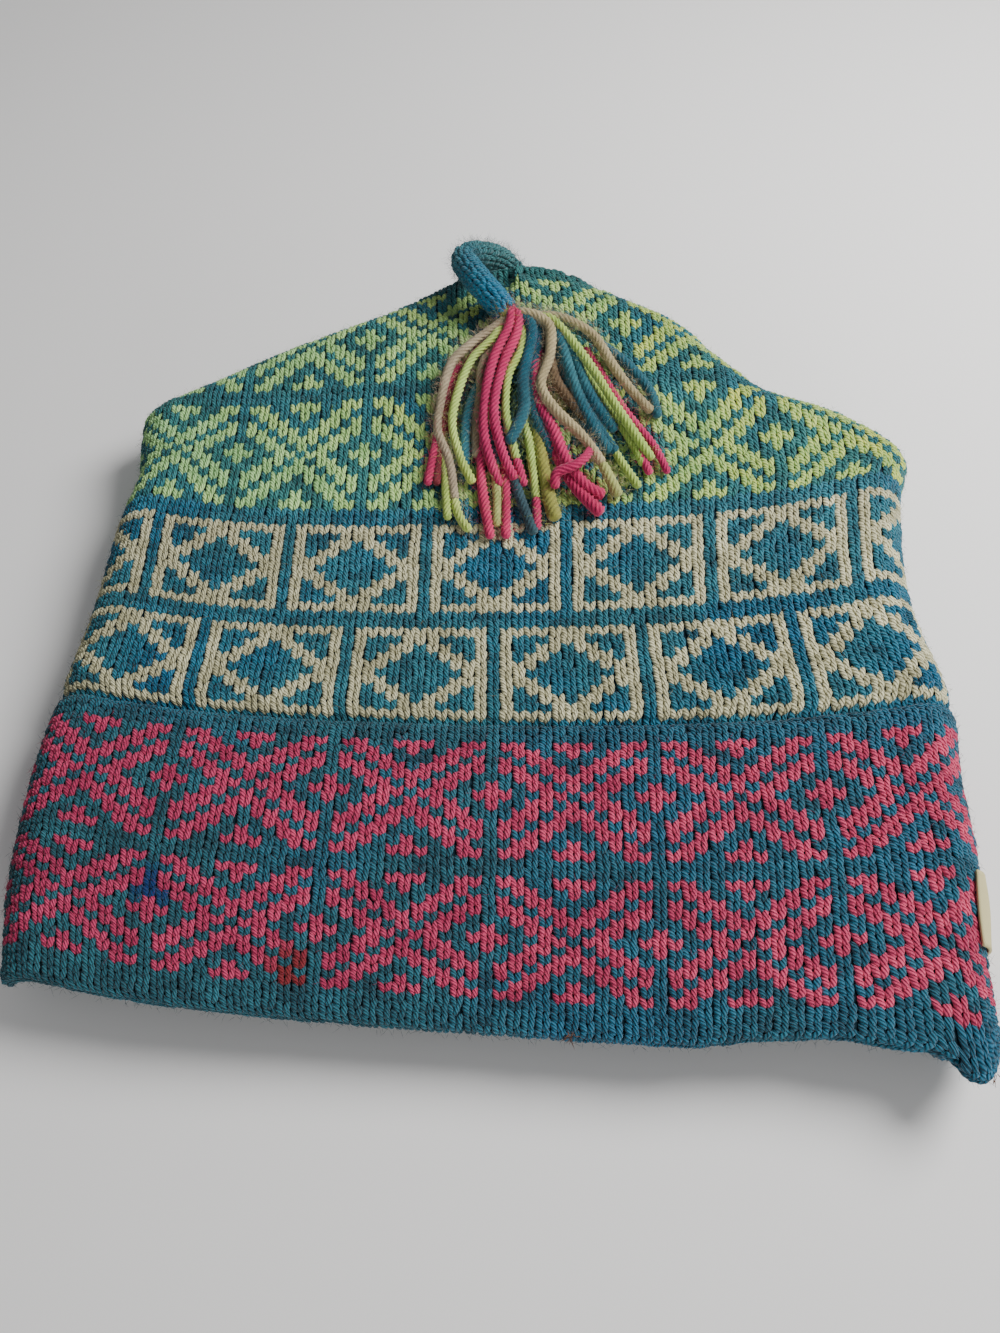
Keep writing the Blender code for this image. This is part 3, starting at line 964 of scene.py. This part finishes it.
def hairs_on(patch, places):
    """Loose fibres that root anywhere on the given stitches."""
    most = math.ceil(HAIRS_PER_STITCH)
    places = np.repeat(np.array(places, float), most, axis=0)
    places = places[rng.random(len(places)) < HAIRS_PER_STITCH / most]
    places += rng.uniform(-0.5, 0.5, places.shape) + (0, 0.5)
    roots, outwards = on_patch(patch, places[:, 0], places[:, 1])
    return hairs(roots - outwards * HAIR_ROOT, outwards, HAIR_LENGTH, HAIR_LIFT)


def finish_piece(piece, slot, node):
    """Fix a piece to the hat, name its finish and say which plain solid it dresses."""
    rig.ride(piece, "root")
    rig.slot(piece, slot)
    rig.replaces(piece, node)
    return piece


for zone in ZONES:
    parts = {}
    for face, stitch in (("front", FINE_STITCH), ("back", PLAIN_STITCH)):
        patch = PATCHES[zone["body"], face]
        for yarn, places in places_of(zone, face).items():
            marks = marks_at(yarn, places) if face == "front" else 0.0
            parts.setdefault(yarn, []).append(lay(partial(on_patch, patch), stitch, places, marks=marks))
            if face == "front":
                parts[yarn].append(hairs_on(patch, places))
    for yarn, laid in parts.items():
        piece = add_joined(f"{zone['name']}_{yarn}", laid, YARNS[yarn])
        finish_piece(piece, yarn.split("_")[-1] + "_wool", zone["body"])

# %% Loose ends that are caught in the cuff
SNAGS = table("column row count length", (6.0, -0.5, 16, 2.4), (33.0, -1.5, 8, 3.0))
SNAG_SPREAD = 0.15
SNAG_RADIUS = 0.16
SNAG_LOOK = ((150, 96, 62), (92, 58, 40), (150, 96, 62), 0.0, 0.0)
tufts = []
for snag in SNAGS:
    spots = rng.normal(0, SNAG_SPREAD, (snag["count"], 2)) + (snag["column"], snag["row"])
    roots, outwards = on_patch(PATCHES["cuff", "front"], spots[:, 0], spots[:, 1])
    tufts.append(hairs(roots, outwards, snag["length"], HAIR_LIFT, radius=SNAG_RADIUS))
finish_piece(add_joined("snags", tufts, wool("snag_yarn", SNAG_LOOK)), "tassel_yarn", "cuff")

# %% [markdown]
# Under the stitches lies the body of the cloth, with the strands that run behind them. It closes
# the wall, carries the inner face and shows only between the stitches, where its colour, darker
# than the yarn, is painted shade. Each shell starts as a flat grid that is rolled up: its points
# are sent to the lines, and the edges that meet are merged.

# %% The cloth under the stitches
SHELL_INSET = 1.35
SHELL_ROW_STEP = 1.5
CROWN_ROW_STEP = 1.125
SHELL_EVERY = 3
CUFF_LIFT = 0.2
CROWN_LIFT = 0.1
CROWN_FROM = 33.7


def keep_mesh(bm, name, finish):
    """Turn a finished bmesh into an object."""
    data = bpy.data.meshes.new(name)
    bm.to_mesh(data)
    bm.free()
    return add_object(name, data, finish)


def roll_up(name, lines, finish, closed):
    """Roll a grid along closed lines, and round from the last line to the first if closed."""
    around = len(lines[0])
    up = len(lines) if closed else len(lines) - 1
    bm = bmesh.new()
    bmesh.ops.create_grid(bm, x_segments=around, y_segments=up, size=0.5, calc_uvs=False)
    for vert in bm.verts:
        i = round((vert.co.x + 0.5) * around) % around
        j = round((vert.co.y + 0.5) * up) % len(lines)
        vert.co = Vector(lines[j][i]) * MM
    bmesh.ops.remove_doubles(bm, verts=bm.verts, dist=1e-7)
    bmesh.ops.dissolve_degenerate(bm, edges=bm.edges, dist=1e-7)
    bmesh.ops.recalc_face_normals(bm, faces=bm.faces)
    return keep_mesh(bm, name, finish)


# The purl side is coloured much darker than the yarn: painted shade between the stitches and inside the hat
PURL_SHADE_LOOK = ((24, 84, 100), (4, 32, 44), (24, 84, 100), 0.0, 0.0)
purl_shade = wool("shaded_purl_face", PURL_SHADE_LOOK, bump=0.6)
half_lip = math.pi * LIP / ROW_TALL
outer_rows = np.arange(-half_lip, GROOVE_ROW + half_lip, 1.0)
inner_rows = np.arange(GROOVE_ROW - 0.5, 0.5, -SHELL_ROW_STEP)
cuff_lines = [cuff_line(row, SHELL_INSET) for row in outer_rows]
cuff_lines += [closed_line(row, CUFF_WALL - CUFF_LIFT) for row in inner_rows]
cuff_base = roll_up("cuff_base", [line[::SHELL_EVERY] for line in cuff_lines], purl_shade, closed=True)
finish_piece(cuff_base, "teal_wool", "cuff")

crown_rows = np.arange(CROWN_FROM, RIDGE_ROW + 0.01, CROWN_ROW_STEP)
cap_turns = np.linspace(0.15, math.pi / 2, 5)
crown_lines = [cap_line(turn, CROWN_WALL) for turn in reversed(cap_turns)]
crown_lines += [crown_line(row, CROWN_WALL - CROWN_LIFT) for row in reversed(crown_rows)]
crown_lines += [crown_line(row, SHELL_INSET) for row in crown_rows]
crown_lines += [cap_line(turn, SHELL_INSET) for turn in cap_turns]
crown_base = roll_up("crown_base", [line[::SHELL_EVERY] for line in crown_lines], purl_shade, closed=False)
finish_piece(crown_base, "teal_wool", "crown")

# %% [markdown]
# Behind the ridge the last stitches are drawn together to the middle, where the cord starts. The
# rows there run in rings, and each ring has fewer stitches than the one before.

# %% The closed end
CLOSING_ROWS = 10
CLOSING_OVERLAP = 1.25
CLOSING_START = 0.6
FEWEST_STITCHES = 4
OUTWARD_SHARE = 0.3
BACKWARD_SHARE = 0.25
last_line = closed_line(RIDGE_ROW)
last_arcs = arcs(last_line)


def on_cap(fraction, row):
    """Points behind the ridge, by the fraction of the way round and the row past the ridge."""
    left = 1 - np.clip(row / CLOSING_ROWS, 0, 1)[..., None]
    rise = np.sqrt(1 - left**2)
    ground = points_at((fraction % 1) * last_arcs[-1], last_arcs, looped(last_line))
    s = section(RIDGE_ROW)
    middle = np.array([(s["x_left"] + s["x_right"]) / 2, s["y"], np.ptp(last_line[:, 2]) / 2])
    spoke = ground - middle
    backwards = np.array([0, 1, 0])
    normal = unit(spoke) * left * OUTWARD_SHARE + backwards * (rise + BACKWARD_SHARE)
    return middle + spoke * left + backwards * CAP_DEPTH * rise, unit(normal)


closing, widths = [], []
for row in range(CLOSING_ROWS):
    size = 1 - (row + 0.5) / CLOSING_ROWS
    count = max(FEWEST_STITCHES, round(last_arcs[-1] / STITCH_WIDE * size))
    closing += [(k / count, row - CLOSING_START) for k in range(count)]
    widths += [CLOSING_OVERLAP / count] * count
cap_stitches = lay(on_cap, FINE_STITCH, closing, widths)
closure = add_joined("closure_teal", [cap_stitches], YARNS["crown_teal"])
finish_piece(closure, "teal_wool", "crown")

# %% [markdown]
# The knitted cord grows out of the closed end, rises behind the ridge, bends over it and comes
# down on the front, where it ends in the tassel. Its route is the one that the solid follows. It
# is a small tube of knitting, so it gets stitches of its own, in columns along it.

# %% The cord's route, in metres
CORD_DIAMETER = 0.010
CORD_ROUTE = [
    (0.0120, 0.1652, 0.0220),
    (0.0120, 0.1682, 0.0220),
    (0.0110, 0.1710, 0.0237),
    (0.0085, 0.1712, 0.0270),
    (0.0050, 0.1706, 0.0312),
    (0.0025, 0.1698, 0.0350),
    (0.0000, 0.1682, 0.0387),
    (-0.0028, 0.1668, 0.0412),
    (-0.0060, 0.1650, 0.0432),
    (-0.0095, 0.1630, 0.0450),
    (-0.0122, 0.1598, 0.0462),
    (-0.0128, 0.1565, 0.0470),
    (-0.0115, 0.1528, 0.0473),
    (-0.0095, 0.1490, 0.0474),
    (-0.0070, 0.1448, 0.0472),
    (-0.0042, 0.1408, 0.0466),
    (0.0002, 0.1355, 0.0446),
]
UPRIGHT = (0.3, 0.2, 1.0)


def smooth(points, step):
    """Points along a smooth curve through the given ones, at most a step apart."""
    points = [Vector(p) for p in points]
    ends = [points[0], *points, points[-1]]
    found = []
    for before, low, high, after in zip(ends, ends[1:], ends[2:], ends[3:]):
        pieces = max(1, math.ceil((high - low).length / step))
        for i in range(pieces):
            found.append(curve(i / pieces, low, (high - before) / 2, high, (after - low) / 2))
    return [*found, points[-1]]


class Route:
    """A smooth line in millimetres with a direction and two cross directions at any distance."""

    def __init__(self, points, step=0.8):
        self.points = np.array([p[:] for p in smooth(points, step)])
        steps = np.linalg.norm(np.diff(self.points, axis=0), axis=1)
        self.distance = np.concatenate([[0], np.cumsum(steps)])
        self.length = self.distance[-1]
        self.ways = unit(np.gradient(self.points, self.distance, axis=0))
        side = np.cross(self.ways[0], UPRIGHT)
        self.sides = []
        for way in self.ways:
            side = unit(side - way * np.dot(side, way))
            self.sides.append(side)
        self.sides = np.array(self.sides)
        self.others = np.cross(self.ways, self.sides)

    def at(self, values, distance):
        return points_at(distance, self.distance, values)

    def round_about(self, distance, angle, radius):
        """A point at an angle round the line, and the direction that faces out there."""
        out = self.at(self.sides, distance) * np.cos(angle)[..., None]
        out = unit(out + self.at(self.others, distance) * np.sin(angle)[..., None])
        return self.at(self.points, distance) + out * radius[..., None], out

    def hairs(self, radius, count, length, lift):
        """Loose fibres that root anywhere round the line."""
        distance = rng.uniform(0, self.length, count)
        angle = rng.uniform(0, 2 * math.pi, count)
        return hairs(*self.round_about(distance, angle, np.full(count, radius)), length, lift)


cord_points = [Vector(p) / MM for p in CORD_ROUTE]
cord_route = Route(cord_points)
print("cord length", round(cord_route.length, 1), "mm")

# %% Knit the cord
CORD_COLUMNS = 7
CORD_OVERRUN = 5.0
CORD_BLUE_FROM = 0.45
CORD_RINGS = {"sides": 16, "step": 2.0}
CORD_HAIRS = 2600
LONG_HAIR, LONG_HAIR_LIFT = 3.4, 1.4
cord_radius = CORD_DIAMETER / MM / 2
last_way = (cord_points[-1] - cord_points[-2]).normalized()
knit_route = Route([*cord_points, cord_points[-1] + last_way * CORD_OVERRUN])


def on_cord(column, row):
    """The surface on which the cord's stitches lie, a little outside the solid."""
    angle = column / CORD_COLUMNS * 2 * math.pi
    return knit_route.round_about(row * ROW_TALL, angle, np.full_like(row, cord_radius + 0.2))


def tube_lines(route, radius, sides, step):
    """Rings along a route, for rolling up a tube with closed ends."""
    rings = []
    angles = np.linspace(0, 2 * math.pi, sides, endpoint=False)
    for stop in np.linspace(0, route.length, max(3, math.ceil(route.length / step))):
        rings.append(route.round_about(np.full(sides, stop), angles, np.full(sides, radius))[0])
    ends = [np.tile(ring.mean(axis=0), (sides, 1)) for ring in (rings[0], rings[-1])]
    return [ends[0], *rings, ends[1]]


CORD_LOOK = ((84, 150, 150), (24, 68, 72), (60, 136, 158), 0.0, 0.5, (36, 122, 160))
cord_wool = wool("cord_wool", CORD_LOOK)
cord_rows = int(knit_route.length / ROW_TALL)
cord_places = [(c, r + (c % 2) * 0.5) for r in range(cord_rows) for c in range(CORD_COLUMNS)]
way_along = np.array([r / cord_rows for _, r in cord_places])
bluer = np.clip((way_along - CORD_BLUE_FROM) / (1 - CORD_BLUE_FROM), 0, 1)
cord_parts = [
    lay(on_cord, FINE_STITCH, cord_places, marks=bluer),
    knit_route.hairs(cord_radius, CORD_HAIRS, LONG_HAIR, LONG_HAIR_LIFT),
]
# The cord's core takes the same dark purl colour: painted shade between the cord's stitches
core_lines = tube_lines(cord_route, cord_radius - 1.0, **CORD_RINGS)
cord_core = roll_up("cord_core", core_lines, purl_shade, closed=False)
cord_knit = add_joined("cord_knit", cord_parts, cord_wool)

# %% [markdown]
# The tassel is a bundle of yarn, folded and tied at the end of the cord. Each strand is one
# round yarn with the grooves of its twist wound round it. The table gives the line of each strand
# by places on the front: x in millimetres, a knitted row, and the height over the cloth.

# %% The tassel's strands
TIE = "tie"

# A strand's yarn, with that of its tip where it is another one, its width, and its places, which
# begin with TIE where the strand comes out of the tie at the cord's end
STRANDS = [
    ("teal", 4.0, TIE, (5, 79, 3), (-4, 75, 2.4), (-11, 70, 2.2), (-12, 64, 2.1)),
    ("teal", 4.0, TIE, (8, 78, 3), (2, 74, 2.6), (-2, 69, 2.3), (-1, 64, 2.1)),
    ("teal", 4.0, TIE, (17, 79, 3), (22, 74, 2.6), (28, 69, 2.3), (33, 65, 2.1)),
    ("maroon", 3.0, (-12, 75, 2), (-18, 71, 2), (-20, 66, 1.8), (-21, 62, 1.8)),
    ("pink", 3.2, (-14, 76, 1.8), (-19, 72, 1.8), (-21, 68, 1.8), (-24, 62, 1.9)),
    ("taupe lime", 3.4, TIE, (-10, 77, 6), (-17, 75, 4.5), (-20, 71.5, 3.5), (-21, 68, 2.8),
     (-17, 64.5, 2.4), (-14, 59, 2), (-10, 56.5, 1.9)),
    ("lime", 3.0, (-20, 69, 1.8), (-19, 66, 1.8), (-18, 62, 1.8), (-17, 58, 1.8)),
    ("maroon", 3.0, TIE, (-6, 77.5, 4), (-12, 75, 3), (-17, 71, 2.2), (-17, 68, 2)),
    ("taupe", 3.2, TIE, (-6, 75, 4.5), (-7, 72, 3.5), (-8, 68, 2.4), (-8, 65, 2)),
    ("lime", 3.2, TIE, (-2, 77.5, 7), (-10, 75, 6), (-15, 71, 5), (-16, 68, 4.4), (-13, 64.5, 3.4),
     (-9, 62, 2.2)),
    ("cream", 3.2, (-4, 71, 2), (-2, 65, 1.9), (-1, 61, 1.9), (-1, 57, 1.9)),
    ("pink", 3.6, (-5, 71, 2), (-6, 67, 2), (-6, 62, 2), (-3, 55.5, 2)),
    ("pink", 3.4, (-2, 71, 2), (1, 65.5, 1.9), (2, 62, 1.9), (2, 55.5, 1.9)),
    ("slate", 3.8, (1, 70, 1.9), (4, 64.5, 1.9), (6, 61, 1.9), (11, 56, 1.9)),
    ("pink", 3.6, TIE, (4, 80, 8.5), (3, 78, 9.2), (-2, 74.5, 9), (-5, 70.5, 7.8), (-5, 66, 5.8),
     (0, 61.5, 2.4)),
    ("pink", 3.6, TIE, (6, 80, 8.5), (6, 77.5, 9), (1, 73.5, 9), (-2, 69, 7.8), (1, 64.5, 5.4),
     (5, 62, 3.4)),
    ("lime pink", 3.2, TIE, (8, 78.5, 7), (7, 75.5, 7.8), (3, 73, 7), (2, 69.5, 6), (4, 66, 4.8),
     (8, 61.5, 2.4)),
    ("olive", 3.2, TIE, (12, 78, 4), (9, 74, 3), (7, 70, 2.4), (9, 66, 2)),
    ("teal", 4.4, TIE, (9, 79.5, 7.5), (11, 77.5, 8.2), (8, 72.5, 7.6), (8, 69, 7), (3, 65.5, 6.4)),
    ("lime pink", 3.2, TIE, (11, 77, 4), (8, 70, 4), (10, 66, 3.6), (11, 63, 3), (12, 59.5, 2),
     (12, 56.5, 1.9)),
    ("teal", 4.4, TIE, (13, 79, 6), (12, 75.5, 6), (11, 70, 5), (16, 66, 3.8), (18, 64.5, 2.8)),
    ("olive", 4.8, (13, 74, 3), (13, 71, 3), (13, 67.5, 3), (16, 60.5, 2.6), (18, 57.5, 2.6)),
    ("brown", 3.8, TIE, (15, 79.5, 6), (17, 78, 5.6), (19, 73, 5), (26, 70, 4), (33, 67, 3)),
    ("pink", 4.4, TIE, (13, 77, 5), (12, 74, 6), (13, 70.5, 6), (18, 67, 6), (22, 63.5, 5.4),
     (28, 61, 4), (34, 60, 2.4)),
    ("pink", 4.4, TIE, (13, 77, 4), (12, 74.5, 4), (14, 70, 4), (20, 64, 3.6), (25, 61, 3),
     (33, 58, 2.4)),
    ("pink", 3.4, (18, 60.5, 5), (18.5, 61.5, 8), (24, 62, 9), (28, 63, 8.4), (30, 64.5, 6)),
    ("teal", 4.2, TIE, (18, 80, 6), (20, 79, 7), (21, 77, 7), (26, 71.5, 6), (32, 67.5, 4),
     (37, 65, 2.6)),
    ("teal", 4.2, TIE, (19, 80, 6), (21, 79, 6), (25, 76, 6), (31, 71, 5), (39, 67.5, 2.6)),
    ("teal", 4.0, TIE, (18, 80, 5), (21, 79, 5), (23, 75.5, 5), (29, 70, 4), (39, 65, 2.3)),
    ("beige cream", 3.8, TIE, (6, 80.2, 7.5), (10, 79.8, 8.8), (14, 79.2, 9.2), (17.5, 77.8, 9),
     (17, 74.5, 9), (14, 71.5, 8.6), (18, 69, 8.2), (27, 66, 7.2), (33, 63.5, 5.4), (39, 60, 2.2)),
    ("lime", 3.0, (32, 70, 1.8), (36, 67.5, 1.8), (40, 64.5, 1.8), (46, 61, 1.8)),
    ("pink", 3.0, (30, 77, 3.4), (34, 74.5, 3.6), (43, 69.5, 3.2), (52, 65.5, 2.4), (56, 62.5, 1.8)),
    ("pink", 3.0, (36, 71, 1.8), (41, 69, 1.8), (47, 65, 1.8), (50, 62.5, 1.8)),
    ("lime", 3.0, TIE, (22, 78, 3), (27, 75.5, 3), (38, 70, 2.4), (45, 66, 1.9), (48, 63.5, 1.8)),
    ("teal", 3.8, TIE, (17, 80.5, 5), (23, 80, 5), (35, 77.5, 4), (45, 74.5, 3.5), (52, 71.5, 2.8),
     (54, 69, 2.2)),
    ("lime", 3.4, TIE, (14, 79.6, 8), (20, 78.6, 8.6), (31, 73.5, 8), (40, 69, 6.5), (51, 64, 2.4)),
    ("beige", 3.6, TIE, (12, 80, 6.8), (19, 79.8, 7.6), (26, 79, 7.8), (33, 77.5, 7), (39, 74, 6),
     (45, 71.5, 4.5), (52, 69.5, 2.6)),
]
TIE_DEPTH = 4.0
TIE_SPREAD = 2.4
TIP_SHARE = 0.87
YARN_PITCH = 11.4
YARN_PLIES = 6
RING_STEP = 0.8
WOBBLE, WOBBLE_LENGTH = 0.06, 5.1
END_ROUND, END_FAT, END_CAP = 0.7, 0.72, 0.3


def over_front(x, row, height):
    """The point at x and a row that lies some height over the front."""
    line = crown_line(row)[:FRONT_POINTS]
    y, z = (np.interp(x, line[:, 0], line[:, k]) for k in (1, 2))
    return np.array([x, y, z + height])


def strand_route(places):
    """A line through a strand's places, from inside the cord's end if it is tied there."""
    if places[0] != TIE:
        return Route([Vector(over_front(*place)) for place in places], step=1.0)
    points = [over_front(*place) for place in places[1:]]
    spread = rng.uniform(-TIE_SPREAD, TIE_SPREAD, 3)
    tie = knit_route.points[-1]
    points = [tie - knit_route.ways[-1] * TIE_DEPTH + spread * 0.5, tie + spread, *points]
    return Route([Vector(p) for p in points], step=1.0)


def strand_part(route, width, groove, low, high):
    """A round grooved yarn between two fractions of its route, as arrays for a joined mesh."""
    sides = 2 * YARN_PLIES
    rings = max(4, math.ceil(route.length * (high - low) / RING_STEP))
    stops = np.linspace(low, high, rings) * route.length
    winding = stops / YARN_PITCH * 2 * math.pi
    angles = np.linspace(0, 2 * math.pi, sides, endpoint=False)[None, :] + winding[:, None]
    ridged = 1 - groove * ((np.arange(sides) + 1) % 2)
    wobble = 1 + WOBBLE * np.sin(stops / WOBBLE_LENGTH + rng.uniform(0, 6))
    end = np.minimum(stops - stops[0], stops[-1] - stops) / END_ROUND
    radius = width / 2 * ridged[None, :] * (wobble * np.clip(end + END_FAT, 0, 1))[:, None]
    points, _ = route.round_about(np.repeat(stops[:, None], sides, axis=1), angles, radius)
    both = stops[[0, -1]]
    ends = route.at(route.points, both) + route.at(route.ways, both) * [[-END_CAP], [END_CAP]]
    i, j = np.meshgrid(np.arange(sides), np.arange(rings - 1))
    k = (i + 1) % sides
    a, b, c, d = j * sides + i, j * sides + k, (j + 1) * sides + k, (j + 1) * sides + i
    quads = np.stack([a, b, c, a, c, d], axis=-1).reshape(-1, 3)
    left, right, near, far = i / sides, (i + 1) / sides, stops[j] / YARN_PITCH, stops[j + 1] / YARN_PITCH
    uvs = np.stack([left, near, right, near, right, far, left, near, right, far, left, far], axis=-1)
    edge = np.arange(sides)
    following = (edge + 1) % sides
    first = np.stack([following, edge, np.full(sides, rings * sides)], axis=-1)
    last_ring = (rings - 1) * sides
    final = np.stack([edge, following, np.full(sides, sides + 1)], axis=-1) + last_ring
    points = np.vstack([points.reshape(-1, 3), ends])
    return {
        "points": points * MM,
        "corners": np.vstack([quads, first, final]),
        "uvs": np.vstack([uvs.reshape(-1, 2), np.full((sides * 6, 2), 0.08)]),
        "tone": np.full(len(points), rng.uniform(0, 1)),
        "mark": np.zeros(len(points)),
    }


# The columns are light, dark, other, side light (painted light and shade from left to right) and drift
TASSEL_LOOKS = {
    "pink": ((244, 74, 132), (140, 14, 66), (232, 70, 108), 0.3, 0.5),
    "lime": ((206, 234, 140), (134, 166, 70), (220, 224, 112), 0.6, 0.4),
    "teal": ((60, 122, 132), (14, 56, 70), (24, 98, 122), 0.0, 0.9),
    "slate": ((60, 88, 96), (24, 42, 50), (60, 88, 96), 0.0, 0.0),
    "taupe": ((202, 184, 152), (122, 106, 86), (192, 176, 150), 0.0, 0.4),
    "cream": ((198, 202, 124), (126, 132, 72), (184, 190, 112), 0.0, 0.5),
    "beige": ((206, 190, 146), (132, 118, 86), (194, 180, 140), 0.0, 0.5),
    "olive": ((180, 178, 88), (108, 108, 50), (160, 160, 82), 0.0, 0.5),
    "brown": ((150, 122, 90), (88, 70, 52), (142, 116, 86), 0.0, 0.5),
    "maroon": ((158, 50, 66), (80, 20, 34), (146, 62, 66), 0.0, 0.5),
}
# The groove shade is shade painted into the grooves between a strand's plies
TIGHT = {"groove": 0.24, "groove_shade": 0.80, "hairs_per_mm": 3.0}
SOFT = {"groove": 0.10, "groove_shade": 0.45, "hairs_per_mm": 12.0}
TWISTS = {yarn: TIGHT if yarn in ("pink", "lime") else SOFT for yarn in TASSEL_LOOKS}
FUZZ_ROOT = 0.46
FUZZ_LENGTH = 4.0
bundles = {}
for yarns, width, *places in STRANDS:
    yarn, *tip = yarns.split()
    route = strand_route(places)
    share = TIP_SHARE if tip else 1.0
    for name, low, high in [(yarn, 0, share)] + [(name, share, 1) for name in tip]:
        part = strand_part(route, width, TWISTS[name]["groove"], low, high)
        bundles.setdefault(name, []).append(part)
    count = int(route.length * TWISTS[yarn]["hairs_per_mm"])
    bundles[yarn].append(route.hairs(width * FUZZ_ROOT, count, FUZZ_LENGTH, LONG_HAIR_LIFT))
tassel_pieces = []
for yarn, parts in bundles.items():
    twist = {"plies": YARN_PLIES, "turns": 0, "groove_shade": TWISTS[yarn]["groove_shade"], "bump": 0.7}
    finish = wool(f"tassel_{yarn}_yarn", TASSEL_LOOKS[yarn], **twist)
    piece = add_joined(f"tassel_{yarn}", parts, finish)
    tassel_pieces.append(finish_piece(piece, "tassel_yarn", "tassel"))

# %% Tie the tassel to the cord
finish_piece(cord_core, "teal_wool", "cord_loop")
finish_piece(cord_knit, "teal_wool", "cord_loop")
cord_path = [tuple(p * MM) for p in cord_route.points]
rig.cord(
    cord_core,
    exit=CORD_ROUTE[0],
    length=round(cord_route.length * MM, 4),
    diameter=CORD_DIAMETER,
    far_end="knot",
    stiffness="limp",
    lay="loose",
    path=cord_path,
    with_pieces=[cord_knit, *tassel_pieces],
)

# %% [markdown]
# The label is a folded tab of pale woven cloth that peeps out round the right fold of the cuff.
# It is left bare.

# %% The label
LABEL_ROWS = (7.2, 15.4)
LABEL_TURN = (math.radians(52), math.radians(-42))
LABEL_GAP = 0.3
LABEL_THICKNESS = 0.8
LABEL_BULGE = 2.6
LABEL_STEPS = 24
LABEL_PALE = (214, 204, 152)
LABEL_DARK = (168, 158, 112)
THREADS = 28


def on_label(u, v, depth):
    """A point of the tab: u up the hat, v round the fold, depth into the cloth of the tab."""
    row = LABEL_ROWS[0] + (LABEL_ROWS[1] - LABEL_ROWS[0]) * u
    angle = LABEL_TURN[0] + (LABEL_TURN[1] - LABEL_TURN[0]) * v
    s = section(row)
    radius = s["right"] / 2
    reach = fold_reach(row, s, "right")
    out = radius + LABEL_GAP + LABEL_THICKNESS - depth + LABEL_BULGE * math.sin(math.pi * u) * ramp(v)
    x = s["x_right"] - reach + reach * out / radius * math.cos(angle)
    return Vector((x, s["y"] + s["tilt"] + s["bow"], radius + out * math.sin(angle))) * MM


def label_cloth():
    """Pale plain-woven cloth: fine threads both ways, and a little uneven in colour."""
    made, tree, shader = new_material("label_cloth", Roughness=0.85, Metallic=0.0)
    calc = partial(calculate, tree)
    plan = new_node(tree, "ShaderNodeUVMap", uv_map="yarn").outputs["UV"]
    both_ways = axes_of(tree, plan)[:2]
    threads = [calc("SINE", calc("MULTIPLY", way, 2 * math.pi * THREADS), 0) for way in both_ways]
    weave = calc("MULTIPLY", calc("ADD", calc("MULTIPLY", *threads), 1.0), 0.5)
    raise_surface(tree, shader, weave, 0.6, 0.0002)
    colour = mix_colour(tree, weave, linear(*LABEL_DARK), linear(*LABEL_PALE))
    feed(tree, shader.inputs["Base Color"], colour)
    return made


bm = bmesh.new()
bmesh.ops.create_grid(bm, x_segments=LABEL_STEPS, y_segments=LABEL_STEPS, size=0.5)
uv = bm.loops.layers.uv.new("yarn")
for face in bm.faces:
    for loop in face.loops:
        loop[uv].uv = (loop.vert.co.x + 0.5, loop.vert.co.y + 0.5)
back = bmesh.ops.duplicate(bm, geom=bm.verts[:] + bm.edges[:] + bm.faces[:])["geom"]
back_verts = {g for g in back if isinstance(g, bmesh.types.BMVert)}
bmesh.ops.reverse_faces(bm, faces=[g for g in back if isinstance(g, bmesh.types.BMFace)])
bmesh.ops.bridge_loops(bm, edges=[edge for edge in bm.edges if edge.is_boundary])
for vert in bm.verts:
    depth = LABEL_THICKNESS if vert in back_verts else 0.0
    vert.co = on_label(vert.co.x + 0.5, vert.co.y + 0.5, depth)
bmesh.ops.recalc_face_normals(bm, faces=bm.faces)
finish_piece(keep_mesh(bm, "label_tab", label_cloth()), "label_cloth", "label")

# %% [markdown]
# The floor is plain and pale. The light is soft: a broad lamp above and to the right, a weaker one
# low in front that catches the hem, and the light of the room.

# %% Floor and light
FLOOR_SIZE = 3.0
bm = bmesh.new()
bmesh.ops.create_grid(bm, x_segments=1, y_segments=1, size=FLOOR_SIZE)
paper, _, _ = new_material("paper", Base_Color=linear(240, 238, 236), Roughness=0.9)
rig.stage(keep_mesh(bm, "floor", paper))

LIGHTS = table(
    "name place size watts",
    ("window", (0.48, 0.24, 0.54), 0.42, 8.5),
    ("front", (0.30, -0.88, 0.16), 0.5, 5.0),
)
ROOM_COLOUR = (0.95, 0.97, 1.0, 1)
ROOM_STRENGTH = 0.28
for light in LIGHTS:
    lamp = bpy.data.lights.new(light["name"], "AREA")
    lamp.shape = "DISK"
    lamp.size = light["size"]
    lamp.energy = light["watts"]
    made = add_to_scene(light["name"], lamp)
    made.location = light["place"]
    made.rotation_euler = (-Vector(light["place"])).to_track_quat("-Z", "Y").to_euler()
world = bpy.data.worlds.new("soft_room")
bpy.context.scene.world = world
world.use_nodes = True
socket_values(world.node_tree.nodes["Background"], Color=ROOM_COLOUR, Strength=ROOM_STRENGTH)
print("lights:", [light["name"] for light in LIGHTS])

# %% [markdown]
# Last, the sizes of the solids and of the dressed hat are written down.

# %% Finish
dressed_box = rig.bounds()
with open("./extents.json", "w") as file:
    json.dump({"cad": [list(v) for v in cad_box], "visual": [list(v) for v in dressed_box]}, file)
